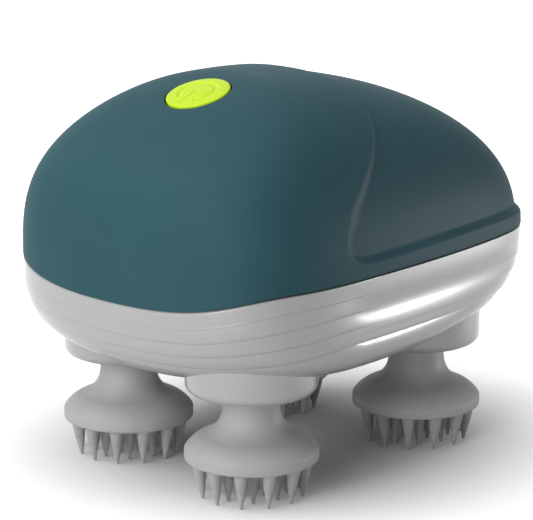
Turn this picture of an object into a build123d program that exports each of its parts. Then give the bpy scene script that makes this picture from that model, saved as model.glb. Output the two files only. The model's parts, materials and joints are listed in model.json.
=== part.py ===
"""Cordless scalp massager with four geared claw heads, built as it comes apart on a bench.

Millimetres, +Z up. The machine stands on its claw tips at Z = 0, the nose points to -Y, and the
origin is on the standing plane, under the middle of the body.
"""

from build123d import *
import math
import os

os.makedirs("parts", exist_ok=True)

# ------------------------------------------------------------------ body form
BODY_WIDTH = 96.0
BODY_LENGTH = 124.0
CROWN_Z = 101.6            # top of the dome
WAIST_Z = 56.5             # widest level, where the two shells meet
BELLY_Z = 28.5             # flat underside of the bowl
CROWN_Y = -13.1            # the dome's top lies in front of the middle
BELLY_Y = 4.3              # middle of the flat underside
WIDEST_Y = -18.9           # station of the full width at the waist
# corners of the egg-shaped plan view: inner control points of a quarter curve from its side to
# its end, as shares of the half width and of the length to that end
NOSE_CORNER = ((1.0, 0.638), (0.925, 0.925), (0.638, 1.0))
TAIL_CORNER = ((1.0, 0.8), (0.8, 0.957), (0.92, 1.0))
CROWN_CORNER = ((1.0, 0.491), (0.828, 0.828), (0.491, 1.0))
BELLY_CORNER = ((1.0, 0.373), (0.749, 0.749), (0.373, 1.0))
# powers of the curves that close the body upwards and downwards from the waist
DOME_CURVES = {"side": (2.42, 2.47), "nose": (3.14, 1.524), "tail": (2.0, 2.28)}
BOWL_CURVES = {"side": (9.0, 2.0), "nose": (3.0, 7.0), "tail": (2.2, 6.2)}
DOME_STATIONS = (15, 30, 44, 56, 66, 74, 81, 86.5)     # degrees up the dome's quarter turn
BOWL_STATIONS = (86, 80, 73, 63, 50, 35, 18)           # degrees down the bowl's quarter turn
BELLY_STATION = 78                                     # the flat underside cuts it off here

# ------------------------------------------------------------------ shells
WALL = 2.4
SEAM_GAP = 0.6             # open line between the shells
SEAM_LEVEL_TO_Y = -36.2    # the seam is level back from here, and falls away to the nose
SEAM_FALL_RUN = 32.8
SEAM_FALL = 17.0
GASKET_SET_BACK = 0.9
GASKET_WIDTH = 1.2
BAND_PITCH = 4.0           # the bowl's lapped bands
BAND_COUNT = 4             # laps below the first band
BAND_STEP = 0.3            # depth of the rebate under each lap
BAND_REBATE = 0.45         # its height
GRIP_DEPTH = 1.2
GRIP_LEDGE = 4.9           # rim kept above the seam
# the grip's edge in side view, from over the crown to the ledge: share of the half length from
# the middle, and share of the height from the ledge to the crown
GRIP_EDGE = (
    (0.065, 1.05),
    (0.032, 0.868),
    (-0.081, 0.682),
    (-0.258, 0.438),
    (-0.365, 0.286),
    (-0.421, 0.134),
    (-0.382, 0.022),
    (-0.29, 0.0),
)
GRIP_OVERSHOOT = 20.0      # the cut reaches this far above the crown

# ------------------------------------------------------------------ heads
TRACK = 0.50625 * BODY_WIDTH        # left heads to right heads
RIGHT_BASE = 0.52581 * BODY_LENGTH  # front head to rear head on the right side
LEFT_BASE = 0.44194 * BODY_LENGTH   # the left pair stands closer, and clears the drive
HEADS_Y = -4.0             # middle of both pairs
COLLAR_RADIUS = 16.7
COLLAR_Z = 27.1            # collar's lower face
COLLAR_EDGE = 2.4
DISC_RADIUS = 17.0
DISC_TOP_Z = 12.5
DISC_BOTTOM_Z = 9.45
DISC_EDGE = 0.8
NECK_RADIUS = 7.3
NECK_TOP_Z = 28.1
NECK_RECESS = 1.6          # depth of the collar's recess round the neck
NECK_CLEARANCE = 0.7
TINE_RINGS = ((12, 13.8, 1.0), (8, 8.7, 0.0), (4, 3.7, 8.0))   # count, ring radius, phase
TINE_ROOT_RADIUS = 1.85
TINE_MID_RADIUS = 1.22
TINE_TIP_RADIUS = 0.42
TINE_MID_Z = 4.8
TINE_LEAN = 0.9            # the outer tips lean inward by this much
TINE_SINK = 0.3            # roots start inside the disc
TRUMPET_TOP_Z = 23.5       # the neck is straight above this
HUB_RADIUS = 5.0
HUB_FLANGE_RADIUS = 10.0
HUB_FLANGE_Z = 11.6
HUB_FLANGE_HEIGHT = 1.6
HUB_SOCKET_Z = 14.0        # bottom of the shaft socket

# ------------------------------------------------------------------ drive train
SHAFT_RADIUS = 3.0
SHAFT_FLAT = 2.5           # distance of the drive flat from the axis
RUNNING_CLEARANCE = 0.04
FIT_CLEARANCE = 0.03
HEAD_TEETH = 30
DRIVE_TEETH = 48
GEAR_WIDTH = 6.0
GEAR_Z = 42.0
GEAR_WEB = 3.0
GEAR_HUB_RADIUS = 6.0
END_PLAY = 0.3
ADDENDUM = 0.8             # in modules, cut short so that straight flanks roll freely
DEDENDUM = 1.1
TOOTH_SHARE = 0.43         # tooth's share of the pitch at the pitch circle
TOOTH_FLANK = 0.22         # flank's lean from the pitch circle to the tip, in modules
TOOTH_FOOT = 1.75          # foot's width, in tooth widths
TOOTH_SINK = 0.97          # the foot starts at this share of the root circle
RIM_THICKNESS = 1.6        # rim under the teeth, in modules
BEARING_RADIUS = 6.5
BEARING_HEIGHT = 5.0
BEARING_BOSS_RADIUS = 9.0
BEARING_RACE = 1.1         # width of each race's face
BEARING_SHIELD = 0.4       # how far the shield is set in
SHAFT_CHAMFER = 0.4
SEAL_RADIUS = 6.0
SEAL_HEIGHT = 2.2
SEAL_WALL = 1.2
SEAL_LIP = 0.5             # height of the lip's contact band
SEAL_LIP_SLOPE = 0.8       # its entry slope
DRIVE_SHAFT_RADIUS = 2.5
PIVOT_DEPTH = 5.0          # drive shaft's lower end in the floor boss
GEARBOX_SOCKET = 6.0       # its upper end in the gearbox
PLATE_WIDTH = BODY_WIDTH - 22.0
PLATE_LENGTH = BODY_LENGTH - 36.0
PLATE_CORNER = 18.0
PLATE_THICKNESS = 3.0
PLATE_GAP = 2.0            # gear tops to plate
PLATE_WINDOW_LENGTH = 22.0
PLATE_WINDOW_WIDTH = 7.0
PLATE_WINDOW_X = 20.0      # slots beside the gearbox
BUSH_RADIUS = 4.6
BUSH_FLANGE_RADIUS = 6.2
BUSH_FLANGE_HEIGHT = 1.0
GEARBOX_RADIUS = 12.5
GEARBOX_HEIGHT = 12.0
GEARBOX_PILOT_RADIUS = 7.0
GEARBOX_CHAMFER = 0.6
MOTOR_RADIUS = 12.2
MOTOR_LENGTH = 21.0
MOTOR_SCREW_CIRCLE = 10.4
MOTOR_BOSS_RADIUS = 3.5
MOTOR_BOSS_HEIGHT = 1.6
MOTOR_SHOULDER = 1.5       # rounding of the can's top edge
MOTOR_TAB_SPACING = 7.0
MOTOR_TAB_WIDTH = 2.4
MOTOR_TAB_THICKNESS = 0.6

# ------------------------------------------------------------------ fasteners
COLUMN_RADIUS = 3.4
PLATE_SCREW_X = PLATE_WIDTH / 2 - 5.0
PLATE_SCREW_Y = 30.0
SHELL_SCREW_X = BODY_WIDTH / 2 - 14.0
SHELL_SCREW_TAIL_Y = BODY_LENGTH / 2 - 14.0
SHELL_SCREW_NOSE_Y = 9.0 - BODY_LENGTH / 2
SHELL_COLUMN_TOP_Z = 52.0
SHELL_SCREW_HEAD_Z = 42.0
SCREW_RADIUS = 1.4
SCREW_CLEARANCE = 0.25
SCREW_HEAD_RADIUS = 2.7
SCREW_HEAD_HEIGHT = 1.8
SHELL_SCREW_LENGTH = 20.0
PLATE_SCREW_LENGTH = 10.0
SMALL_SCREW_RADIUS = 0.9
SMALL_SCREW_HEAD_RADIUS = 1.8
SMALL_SCREW_HEAD_HEIGHT = 1.2
SMALL_SCREW_LENGTH = 6.0
SLOT_WIDTH = 0.35          # cross slot, in head radii
SLOT_LENGTH = 1.2

# ------------------------------------------------------------------ button and electronics
BUTTON_Y = -29.8
BUTTON_TILT = 16.5         # slope of the dome under the button
BUTTON_RADIUS = 8.3
BUTTON_GAP = 0.35
BUTTON_CROWN = 0.5         # rise of its lens face
BUTTON_TRAVEL = 0.8
SEAL_GROOVE_WIDTH = 1.4
SEAL_RING_DEPTH = 1.2      # groove's place above the flange
SEAL_RING_RADIUS = SEAL_GROOVE_WIDTH / 2 - FIT_CLEARANCE
SEAL_RING_MIDDLE = BUTTON_RADIUS + BUTTON_GAP - RUNNING_CLEARANCE - SEAL_RING_RADIUS
SEAL_GROOVE_FLOOR = SEAL_RING_MIDDLE - SEAL_RING_RADIUS - FIT_CLEARANCE
GUIDE_RADIUS = 11.4
GUIDE_DEPTH = 5.0
FLANGE_RADIUS = 10.4
FLANGE_HEIGHT = 1.2
SWITCH_SIZE = 6.0
SWITCH_HEIGHT = 3.5
SWITCH_PLUNGER_RADIUS = 1.7
SWITCH_PLUNGER_HEIGHT = 1.5
BOARD_WIDTH = 34.0
BOARD_LENGTH = 26.0
BOARD_THICKNESS = 1.6
BOARD_POST_RADIUS = 2.4
BOARD_POST_INSET = 3.0
CELL_RADIUS = 9.15
CELL_LENGTH = 50.0
CELL_Y = 29.0
CELL_LIFT = 4.0            # cell's underside above the gear plate
CRADLE_LENGTH = 32.0
CRADLE_WALL = 2.0
CELL_CHAMFER = 0.6
CELL_CAP_HEIGHT = 1.0
PIN_RADIUS = 1.6
PIN_SPACING = 10.0
PIN_DROP = 6.2             # below the waist, in the second band
PIN_REACH = 2.5            # pins stand this far inside the wall
CHARGE_BOARD_WIDTH = 24.0
CHARGE_BOARD_HEIGHT = 8.0

# ------------------------------------------------------------------ derived places
NOSE_Y = -BODY_LENGTH / 2
TAIL_Y = BODY_LENGTH / 2
HEADS = {
    "front_left": (-TRACK / 2, HEADS_Y - LEFT_BASE / 2),
    "front_right": (TRACK / 2, HEADS_Y - RIGHT_BASE / 2),
    "rear_left": (-TRACK / 2, HEADS_Y + LEFT_BASE / 2),
    "rear_right": (TRACK / 2, HEADS_Y + RIGHT_BASE / 2),
}
# the one point that is equally far from all four head axes
DRIVE_X = (RIGHT_BASE**2 - LEFT_BASE**2) / (8 * TRACK)
DRIVE_XY = (DRIVE_X, HEADS_Y)
CENTRE_DISTANCE = math.hypot(TRACK / 2 - DRIVE_X, RIGHT_BASE / 2)
MODULE = 2 * CENTRE_DISTANCE / (HEAD_TEETH + DRIVE_TEETH)
FLOOR_Z = BELLY_Z + WALL
BEARING_TOP_Z = GEAR_Z - 2 * END_PLAY
PLATE_Z = GEAR_Z + GEAR_WIDTH + PLATE_GAP
PLATE_TOP_Z = PLATE_Z + PLATE_THICKNESS
BUSH_TOP_Z = PLATE_TOP_Z + BUSH_FLANGE_HEIGHT
SEAL_Z = COLLAR_Z + NECK_RECESS
PLATE_SCREWS = [
    (-PLATE_SCREW_X, HEADS_Y),
    (PLATE_SCREW_X, HEADS_Y),
    (0, HEADS_Y - PLATE_SCREW_Y),
    (0, HEADS_Y + PLATE_SCREW_Y),
]
SHELL_SCREWS = [
    (0, SHELL_SCREW_NOSE_Y),
    (-SHELL_SCREW_X, SHELL_SCREW_TAIL_Y),
    (SHELL_SCREW_X, SHELL_SCREW_TAIL_Y),
]
PIN_XS = (-PIN_SPACING / 2, PIN_SPACING / 2)
PIN_Z = WAIST_Z - PIN_DROP
STANDING = (Align.CENTER, Align.CENTER, Align.MIN)
HANGING = (Align.CENTER, Align.CENTER, Align.MAX)
MOTOR_SCREWS = [(DRIVE_X - MOTOR_SCREW_CIRCLE, HEADS_Y), (DRIVE_X + MOTOR_SCREW_CIRCLE, HEADS_Y)]


# ------------------------------------------------------------------ forms
def share_left(share, curve):
    """Half-size that is left at a share of the way from the waist to the crown or belly."""
    power, root = curve
    return (1 - share**power) ** (1 / root)


def plan_outline(share, curves, apex_y, end_corner, inset):
    """Four quarter curves of the egg-shaped plan view, as lists of control points."""
    side, nose, tail = (share_left(share, curves[name]) for name in ("side", "nose", "tail"))
    half_width = (BODY_WIDTH / 2 - inset) * side
    middle_y = apex_y + (WIDEST_Y - apex_y) * side
    nose_y = apex_y + (NOSE_Y + inset - apex_y) * nose
    tail_y = apex_y + (TAIL_Y - inset - apex_y) * tail
    quarters = []
    for end_y, corner in ((tail_y, TAIL_CORNER), (nose_y, NOSE_CORNER)):
        shares = [
            (x + (end_x - x) * share**3, y + (end_y_share - y) * share**3)
            for (x, y), (end_x, end_y_share) in zip(corner, end_corner)
        ]
        for side_x in (half_width, -half_width):
            points = [(side_x * x, middle_y + (end_y - middle_y) * y) for x, y in shares]
            quarters.append([(side_x, middle_y), *points, (0, end_y)])
    return quarters


def body_form(inset=0.0):
    """The whole egg, set in by a wall or a step, as one loft from belly to crown."""
    dome_height = (CROWN_Z - inset - WAIST_Z) / math.sin(math.radians(DOME_STATIONS[-1]))
    bowl_height = (WAIST_Z - BELLY_Z - inset) / math.sin(math.radians(BELLY_STATION))
    bowl = [math.sin(math.radians(a)) for a in BOWL_STATIONS]
    dome = [math.sin(math.radians(a)) for a in (0,) + DOME_STATIONS]
    sections = [
        (WAIST_Z - s * bowl_height, plan_outline(s, BOWL_CURVES, BELLY_Y, BELLY_CORNER, inset))
        for s in bowl
    ]
    sections += [
        (WAIST_Z + s * dome_height, plan_outline(s, DOME_CURVES, CROWN_Y, CROWN_CORNER, inset))
        for s in dome
    ]
    with BuildPart() as form:
        for height, quarters in sections:
            with BuildSketch(Plane.XY.offset(height)):
                with BuildLine():
                    for quarter in quarters:
                        Bezier(*quarter)
                make_face()
        loft()
        split(bisect_by=Plane.XY.offset(BELLY_Z + inset), keep=Keep.TOP)
    return form.part


def seam_slab(top_drop, bottom_drop):
    """Slab between two copies of the seam line, lowered by two amounts."""
    far_y = 2 * BODY_LENGTH
    nose_end = SEAM_LEVEL_TO_Y - SEAM_FALL_RUN
    stations = [SEAM_LEVEL_TO_Y - SEAM_FALL_RUN * k / 4 for k in range(5)]
    falls = (0, 0, 0, 0, SEAM_FALL)
    with BuildPart() as slab:
        with BuildSketch(Plane.YZ):
            with BuildLine():
                for drop in (top_drop, bottom_drop):
                    level = WAIST_Z - drop
                    Bezier(*[(y, level - fall) for y, fall in zip(stations, falls)])
                    Line((SEAM_LEVEL_TO_Y, level), (far_y, level))
                Line((far_y, WAIST_Z - top_drop), (far_y, WAIST_Z - bottom_drop))
                Line(
                    (nose_end, WAIST_Z - SEAM_FALL - top_drop),
                    (nose_end, WAIST_Z - SEAM_FALL - bottom_drop),
                )
            make_face()
        extrude(amount=BODY_WIDTH, both=True)
    return slab.part


def gear_blank(teeth, hub_radius):
    """Spur gear on the origin with one tooth on +X, a thin web and a hub that isn't bored yet."""
    pitch_radius = MODULE * teeth / 2
    root_radius = pitch_radius - DEDENDUM * MODULE
    tip_radius = pitch_radius + ADDENDUM * MODULE
    pitch_half = math.pi / teeth * TOOTH_SHARE
    flank = TOOTH_FLANK * MODULE / pitch_radius
    foot_x = root_radius * TOOTH_SINK * math.cos(TOOTH_FOOT * pitch_half)
    foot_y = root_radius * TOOTH_SINK * math.sin(TOOTH_FOOT * pitch_half)
    pitch_x = pitch_radius * math.cos(pitch_half)
    pitch_y = pitch_radius * math.sin(pitch_half)
    tip_y = tip_radius * math.sin(pitch_half - flank)
    web_cut = (GEAR_WIDTH - GEAR_WEB) / 2
    with BuildPart() as gear:
        with BuildSketch():
            Circle(root_radius)
            with BuildLine():
                Polyline(
                    (foot_x, -foot_y),
                    (pitch_x, -pitch_y),
                    (tip_radius, -tip_y),
                    (tip_radius, tip_y),
                    (pitch_x, pitch_y),
                    (foot_x, foot_y),
                    close=True,
                )
            tooth = make_face(mode=Mode.PRIVATE)
            with PolarLocations(0, teeth):
                add(tooth)
        extrude(amount=GEAR_WIDTH)
        with BuildSketch():
            Circle(root_radius - RIM_THICKNESS * MODULE)
            Circle(hub_radius, mode=Mode.SUBTRACT)
        extrude(amount=web_cut, mode=Mode.SUBTRACT)
        with BuildSketch(Plane.XY.offset(GEAR_WIDTH)):
            Circle(root_radius - RIM_THICKNESS * MODULE)
            Circle(hub_radius, mode=Mode.SUBTRACT)
        extrude(amount=-web_cut, mode=Mode.SUBTRACT)
        with BuildSketch(Plane.XY.offset(-END_PLAY)):
            Circle(hub_radius)
        extrude(amount=GEAR_WIDTH + PLATE_GAP)
    return gear.part


def flatted_bore(radius, low_z, high_z):
    """Space for a shaft and its drive flat, standing on the origin."""
    flat = SHAFT_FLAT / SHAFT_RADIUS * radius + FIT_CLEARANCE
    with BuildPart() as bore:
        with BuildSketch(Plane.XY.offset(low_z)):
            Circle(radius + FIT_CLEARANCE)
            with Locations((flat, 0)):
                Rectangle(radius, 3 * radius, align=(Align.MIN, Align.CENTER), mode=Mode.SUBTRACT)
        extrude(amount=high_z - low_z)
    return bore.part


def flat_cutter(radius, low_z, high_z):
    """Block that takes the drive flat off a shaft standing on the origin."""
    flat = SHAFT_FLAT / SHAFT_RADIUS * radius
    with BuildPart() as cutter:
        with BuildSketch(Plane.XY.offset(low_z)):
            with Locations((flat, 0)):
                Rectangle(radius, 3 * radius, align=(Align.MIN, Align.CENTER))
        extrude(amount=high_z - low_z)
    return cutter.part


def screw(length, radius, head_radius, head_height):
    """Pan-head screw: head above the origin plane, shank below it, cross slot in the head."""
    slot_length = SLOT_LENGTH * head_radius
    slot_width = SLOT_WIDTH * head_radius
    with BuildPart() as fastener:
        Cylinder(head_radius, head_height, align=(Align.CENTER, Align.CENTER, Align.MIN))
        Cylinder(radius, length, align=(Align.CENTER, Align.CENTER, Align.MAX))
        with Locations((0, 0, head_height)):
            Box(slot_length, slot_width, head_height, mode=Mode.SUBTRACT)
            Box(slot_width, slot_length, head_height, mode=Mode.SUBTRACT)
    return fastener.part


def finish(builder, name):
    """Labels a finished piece and writes its file."""
    builder.part.label = name
    export_step(builder.part, f"parts/{name}.step")


egg = body_form()
egg_inside = body_form(WALL)
egg_half_wall = body_form(WALL / 2)

# the button stands square to the dome, on the spine
spine_share = (BUTTON_Y - CROWN_Y) / (NOSE_Y - CROWN_Y)
nose_power, nose_root = DOME_CURVES["nose"]
button_rise = (1 - spine_share**nose_root) ** (1 / nose_power)
dome_rise = (CROWN_Z - WAIST_Z) / math.sin(math.radians(DOME_STATIONS[-1]))
BUTTON_Z = WAIST_Z + dome_rise * button_rise
tilt = math.radians(BUTTON_TILT)
button_plane = Plane(
    origin=(0, BUTTON_Y, BUTTON_Z),
    x_dir=(1, 0, 0),
    z_dir=(0, -math.sin(tilt), math.cos(tilt)),
)
FLANGE_DEPTH = GUIDE_DEPTH + 0.1
PLUNGER_DEPTH = FLANGE_DEPTH + FLANGE_HEIGHT + BUTTON_TRAVEL + 0.1
BOARD_DEPTH = PLUNGER_DEPTH + SWITCH_PLUNGER_HEIGHT + SWITCH_HEIGHT
BOARD_POSTS = [
    (sx * (BOARD_WIDTH / 2 - BOARD_POST_INSET), sy * (BOARD_LENGTH / 2 - BOARD_POST_INSET))
    for sx in (-1, 1)
    for sy in (-1, 1)
]

# ------------------------------------------------------------------ upper shell
with BuildPart() as grip_cut:
    ledge_z = WAIST_Z + GRIP_LEDGE
    grip_points = [
        (along * BODY_LENGTH / 2, ledge_z + up * (CROWN_Z - ledge_z)) for along, up in GRIP_EDGE
    ]
    with BuildSketch(Plane.YZ):
        with BuildLine():
            edge = Spline(*grip_points, tangents=((-0.3, -1), (1, 0)))
            Polyline(
                edge @ 1,
                (BODY_LENGTH, ledge_z),
                (BODY_LENGTH, CROWN_Z + GRIP_OVERSHOOT),
                (grip_points[0][0], CROWN_Z + GRIP_OVERSHOOT),
                edge @ 0,
            )
        make_face()
    extrude(amount=BODY_WIDTH, both=True)
    add(body_form(GRIP_DEPTH), mode=Mode.SUBTRACT)

with BuildPart() as upper_bosses:
    with BuildSketch(Plane.XY.offset(SHELL_COLUMN_TOP_Z)):
        with Locations(*SHELL_SCREWS):
            Circle(COLUMN_RADIUS)
    extrude(amount=CROWN_Z)
    with BuildSketch(button_plane.offset(-GUIDE_DEPTH)):
        Circle(GUIDE_RADIUS)
    extrude(amount=2 * GUIDE_DEPTH)
    with BuildSketch(button_plane.offset(-BOARD_DEPTH)):
        with Locations(*BOARD_POSTS):
            Circle(BOARD_POST_RADIUS)
    extrude(amount=2 * BOARD_DEPTH)
    add(egg_half_wall, mode=Mode.INTERSECT)

with BuildPart() as upper_shell:
    add(egg)
    add(seam_slab(-SEAM_GAP / 2, 2 * WAIST_Z), mode=Mode.SUBTRACT)
    add(grip_cut.part, mode=Mode.SUBTRACT)
    add(egg_inside, mode=Mode.SUBTRACT)
    add(upper_bosses.part)
    with BuildSketch(button_plane.offset(-2 * GUIDE_DEPTH)):
        Circle(BUTTON_RADIUS + BUTTON_GAP)
    extrude(amount=4 * GUIDE_DEPTH, mode=Mode.SUBTRACT)
    with BuildSketch(Plane.XY.offset(SHELL_COLUMN_TOP_Z)):
        with Locations(*SHELL_SCREWS):
            Circle(SCREW_RADIUS)
    extrude(amount=SHELL_SCREW_LENGTH, mode=Mode.SUBTRACT)
    with BuildSketch(button_plane.offset(-BOARD_DEPTH)):
        with Locations(*BOARD_POSTS):
            Circle(SMALL_SCREW_RADIUS)
    extrude(amount=SMALL_SCREW_LENGTH, mode=Mode.SUBTRACT)
finish(upper_shell, "upper_shell")

# ------------------------------------------------------------------ lower shell
with BuildPart() as collars:
    for x, y in HEADS.values():
        with BuildSketch(Plane(origin=(x, y, COLLAR_Z), x_dir=(1, 0, 0), z_dir=(0, -1, 0))):
            with BuildLine():
                Polyline(
                    (COLLAR_RADIUS - COLLAR_EDGE, 0),
                    (0, 0),
                    (0, WAIST_Z - COLLAR_Z),
                    (COLLAR_RADIUS, WAIST_Z - COLLAR_Z),
                    (COLLAR_RADIUS, COLLAR_EDGE),
                )
                JernArc((COLLAR_RADIUS, COLLAR_EDGE), (0, -1), COLLAR_EDGE, -90)
            make_face()
        revolve(axis=Axis((x, y, 0), (0, 0, 1)))
    add(egg_inside, mode=Mode.SUBTRACT)

with BuildPart() as lower_fittings:
    for radius, base_z, top_z, places in (
        (BEARING_BOSS_RADIUS, FLOOR_Z, BEARING_TOP_Z, list(HEADS.values())),
        (COLUMN_RADIUS, BELLY_Z, PLATE_Z, PLATE_SCREWS),
        (COLUMN_RADIUS + WALL / 2, BELLY_Z, SHELL_COLUMN_TOP_Z, SHELL_SCREWS),
        (GEAR_HUB_RADIUS, BELLY_Z, BEARING_TOP_Z, [DRIVE_XY]),
    ):
        with BuildSketch(Plane.XY.offset(base_z)):
            with Locations(*places):
                Circle(radius)
        extrude(amount=top_z - base_z)
    add(egg_half_wall, mode=Mode.INTERSECT)
    add(collars.part)

with BuildPart() as lower_drillings:
    for x, y in HEADS.values():
        with Locations((x, y, COLLAR_Z)):
            Cylinder(NECK_RADIUS + NECK_CLEARANCE, 2 * NECK_RECESS)
            Cylinder(SEAL_RADIUS, NECK_RECESS + SEAL_HEIGHT, align=STANDING)
            Cylinder(SHAFT_RADIUS + 1, GEAR_Z - COLLAR_Z, align=STANDING)
        with Locations((x, y, BEARING_TOP_Z)):
            Cylinder(BEARING_RADIUS + FIT_CLEARANCE, BEARING_HEIGHT, align=HANGING)
    with Locations((DRIVE_X, HEADS_Y, BEARING_TOP_Z)):
        Cylinder(DRIVE_SHAFT_RADIUS + RUNNING_CLEARANCE, PIVOT_DEPTH, align=HANGING)
    for x, y in SHELL_SCREWS:
        with Locations((x, y, 0)):
            Cylinder(SCREW_HEAD_RADIUS + SCREW_CLEARANCE, SHELL_SCREW_HEAD_Z, align=STANDING)
            Cylinder(SCREW_RADIUS + SCREW_CLEARANCE, CROWN_Z, align=STANDING)
    for x, y in PLATE_SCREWS:
        with Locations((x, y, PLATE_Z)):
            Cylinder(SCREW_RADIUS, PLATE_SCREW_LENGTH, align=HANGING)
    for x in PIN_XS:
        with BuildSketch(Plane.XZ.offset(-TAIL_Y)):
            with Locations((x, PIN_Z)):
                Circle(PIN_RADIUS + FIT_CLEARANCE)
        extrude(amount=4 * WALL)

with BuildPart() as lap_cuts:
    for lap in range(1, BAND_COUNT + 1):
        add(seam_slab(lap * BAND_PITCH, lap * BAND_PITCH + BAND_REBATE))
    add(body_form(BAND_STEP), mode=Mode.SUBTRACT)

with BuildPart() as lower_shell:
    add(egg)
    add(seam_slab(-2 * WAIST_Z, SEAM_GAP / 2), mode=Mode.SUBTRACT)
    add(egg_inside, mode=Mode.SUBTRACT)
    add(lap_cuts.part, mode=Mode.SUBTRACT)
    add(lower_fittings.part)
    add(lower_drillings.part, mode=Mode.SUBTRACT)
finish(lower_shell, "lower_shell")

# ------------------------------------------------------------------ seam gasket
with BuildPart() as seam_gasket:
    add(body_form(GASKET_SET_BACK))
    add(body_form(GASKET_SET_BACK + GASKET_WIDTH), mode=Mode.SUBTRACT)
    add(seam_slab(-SEAM_GAP / 2, SEAM_GAP / 2), mode=Mode.INTERSECT)
finish(seam_gasket, "seam_gasket")

# ------------------------------------------------------------------ claw heads
with BuildPart() as hub_master:
    with BuildSketch(Plane.XZ):
        with BuildLine():
            Polyline(
                (0, HUB_FLANGE_Z),
                (HUB_FLANGE_RADIUS, HUB_FLANGE_Z),
                (HUB_FLANGE_RADIUS, HUB_FLANGE_Z + HUB_FLANGE_HEIGHT),
                (HUB_RADIUS, HUB_FLANGE_Z + HUB_FLANGE_HEIGHT),
                (HUB_RADIUS, NECK_TOP_Z),
                (0, NECK_TOP_Z),
                close=True,
            )
        make_face()
    revolve(axis=Axis.Z)

with BuildPart() as hub_space:
    with BuildSketch(Plane.XZ):
        with BuildLine():
            Polyline(
                (0, HUB_FLANGE_Z - FIT_CLEARANCE),
                (HUB_FLANGE_RADIUS + FIT_CLEARANCE, HUB_FLANGE_Z - FIT_CLEARANCE),
                (HUB_FLANGE_RADIUS + FIT_CLEARANCE, HUB_FLANGE_Z + HUB_FLANGE_HEIGHT + FIT_CLEARANCE),
                (HUB_RADIUS + FIT_CLEARANCE, HUB_FLANGE_Z + HUB_FLANGE_HEIGHT + FIT_CLEARANCE),
                (HUB_RADIUS + FIT_CLEARANCE, NECK_TOP_Z + 1),
                (0, NECK_TOP_Z + 1),
                close=True,
            )
        make_face()
    revolve(axis=Axis.Z)

with BuildPart() as claw_master:
    with BuildSketch(Plane.XZ):
        with BuildLine():
            Line((0, DISC_BOTTOM_Z), (0, NECK_TOP_Z))
            Line((0, NECK_TOP_Z), (NECK_RADIUS, NECK_TOP_Z))
            Line((NECK_RADIUS, NECK_TOP_Z), (NECK_RADIUS, TRUMPET_TOP_Z))
            Spline(
                (NECK_RADIUS, TRUMPET_TOP_Z),
                (NECK_RADIUS + 1.0, DISC_TOP_Z + 6.8),
                (NECK_RADIUS + 4.6, DISC_TOP_Z + 3.7),
                (DISC_RADIUS - 1.6, DISC_TOP_Z + 1.6),
                (DISC_RADIUS, DISC_TOP_Z - 0.5),
                tangents=((0, -1), (0, -1)),
            )
            Line((DISC_RADIUS, DISC_TOP_Z - 0.5), (DISC_RADIUS, DISC_BOTTOM_Z + DISC_EDGE))
            RadiusArc(
                (DISC_RADIUS, DISC_BOTTOM_Z + DISC_EDGE),
                (DISC_RADIUS - DISC_EDGE, DISC_BOTTOM_Z),
                DISC_EDGE,
            )
            Line((DISC_RADIUS - DISC_EDGE, DISC_BOTTOM_Z), (0, DISC_BOTTOM_Z))
        make_face()
    revolve(axis=Axis.Z)
    for count, ring_radius, phase in TINE_RINGS:
        lean = TINE_LEAN if ring_radius > HUB_FLANGE_RADIUS else 0
        middle_share = (DISC_BOTTOM_Z - TINE_MID_Z) / DISC_BOTTOM_Z
        for k in range(count):
            angle = math.radians(phase + 360 * k / count)
            for level, radius, out in (
                (DISC_BOTTOM_Z + TINE_SINK, TINE_ROOT_RADIUS, ring_radius),
                (TINE_MID_Z, TINE_MID_RADIUS, ring_radius - lean * middle_share),
                (0, TINE_TIP_RADIUS, ring_radius - lean),
            ):
                with BuildSketch(Plane.XY.offset(level)):
                    with Locations((out * math.cos(angle), out * math.sin(angle))):
                        Circle(radius)
            loft(ruled=True)
    add(hub_space.part, mode=Mode.SUBTRACT)

with BuildPart() as shaft_master:
    with BuildSketch(Plane.XY.offset(HUB_SOCKET_Z)):
        Circle(SHAFT_RADIUS)
    extrude(amount=BUSH_TOP_Z - HUB_SOCKET_Z)
    chamfer(shaft_master.edges().filter_by(GeomType.CIRCLE), SHAFT_CHAMFER)
    add(flat_cutter(SHAFT_RADIUS, HUB_SOCKET_Z, NECK_TOP_Z - 2), mode=Mode.SUBTRACT)
    add(flat_cutter(SHAFT_RADIUS, GEAR_Z - END_PLAY, PLATE_Z - END_PLAY), mode=Mode.SUBTRACT)

with BuildPart() as hub_bored:
    add(hub_master.part)
    add(flatted_bore(SHAFT_RADIUS, HUB_SOCKET_Z, NECK_TOP_Z - 2), mode=Mode.SUBTRACT)
    with BuildSketch(Plane.XY.offset(NECK_TOP_Z - 2)):
        Circle(SHAFT_RADIUS + FIT_CLEARANCE)
    extrude(amount=2, mode=Mode.SUBTRACT)

with BuildPart() as seal_master:
    with BuildSketch(Plane.XZ):
        with BuildLine():
            Polyline(
                (SHAFT_RADIUS + RUNNING_CLEARANCE, SEAL_Z + SEAL_LIP_SLOPE),
                (SHAFT_RADIUS + RUNNING_CLEARANCE + SEAL_LIP_SLOPE, SEAL_Z),
                (SEAL_RADIUS - FIT_CLEARANCE, SEAL_Z),
                (SEAL_RADIUS - FIT_CLEARANCE, SEAL_Z + SEAL_HEIGHT),
                (SEAL_RADIUS - SEAL_WALL, SEAL_Z + SEAL_HEIGHT),
                (SEAL_RADIUS - SEAL_WALL, SEAL_Z + SEAL_LIP_SLOPE + SEAL_LIP),
                (SHAFT_RADIUS + RUNNING_CLEARANCE, SEAL_Z + SEAL_LIP_SLOPE + SEAL_LIP),
                close=True,
            )
        make_face()
    revolve(axis=Axis.Z)

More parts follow.
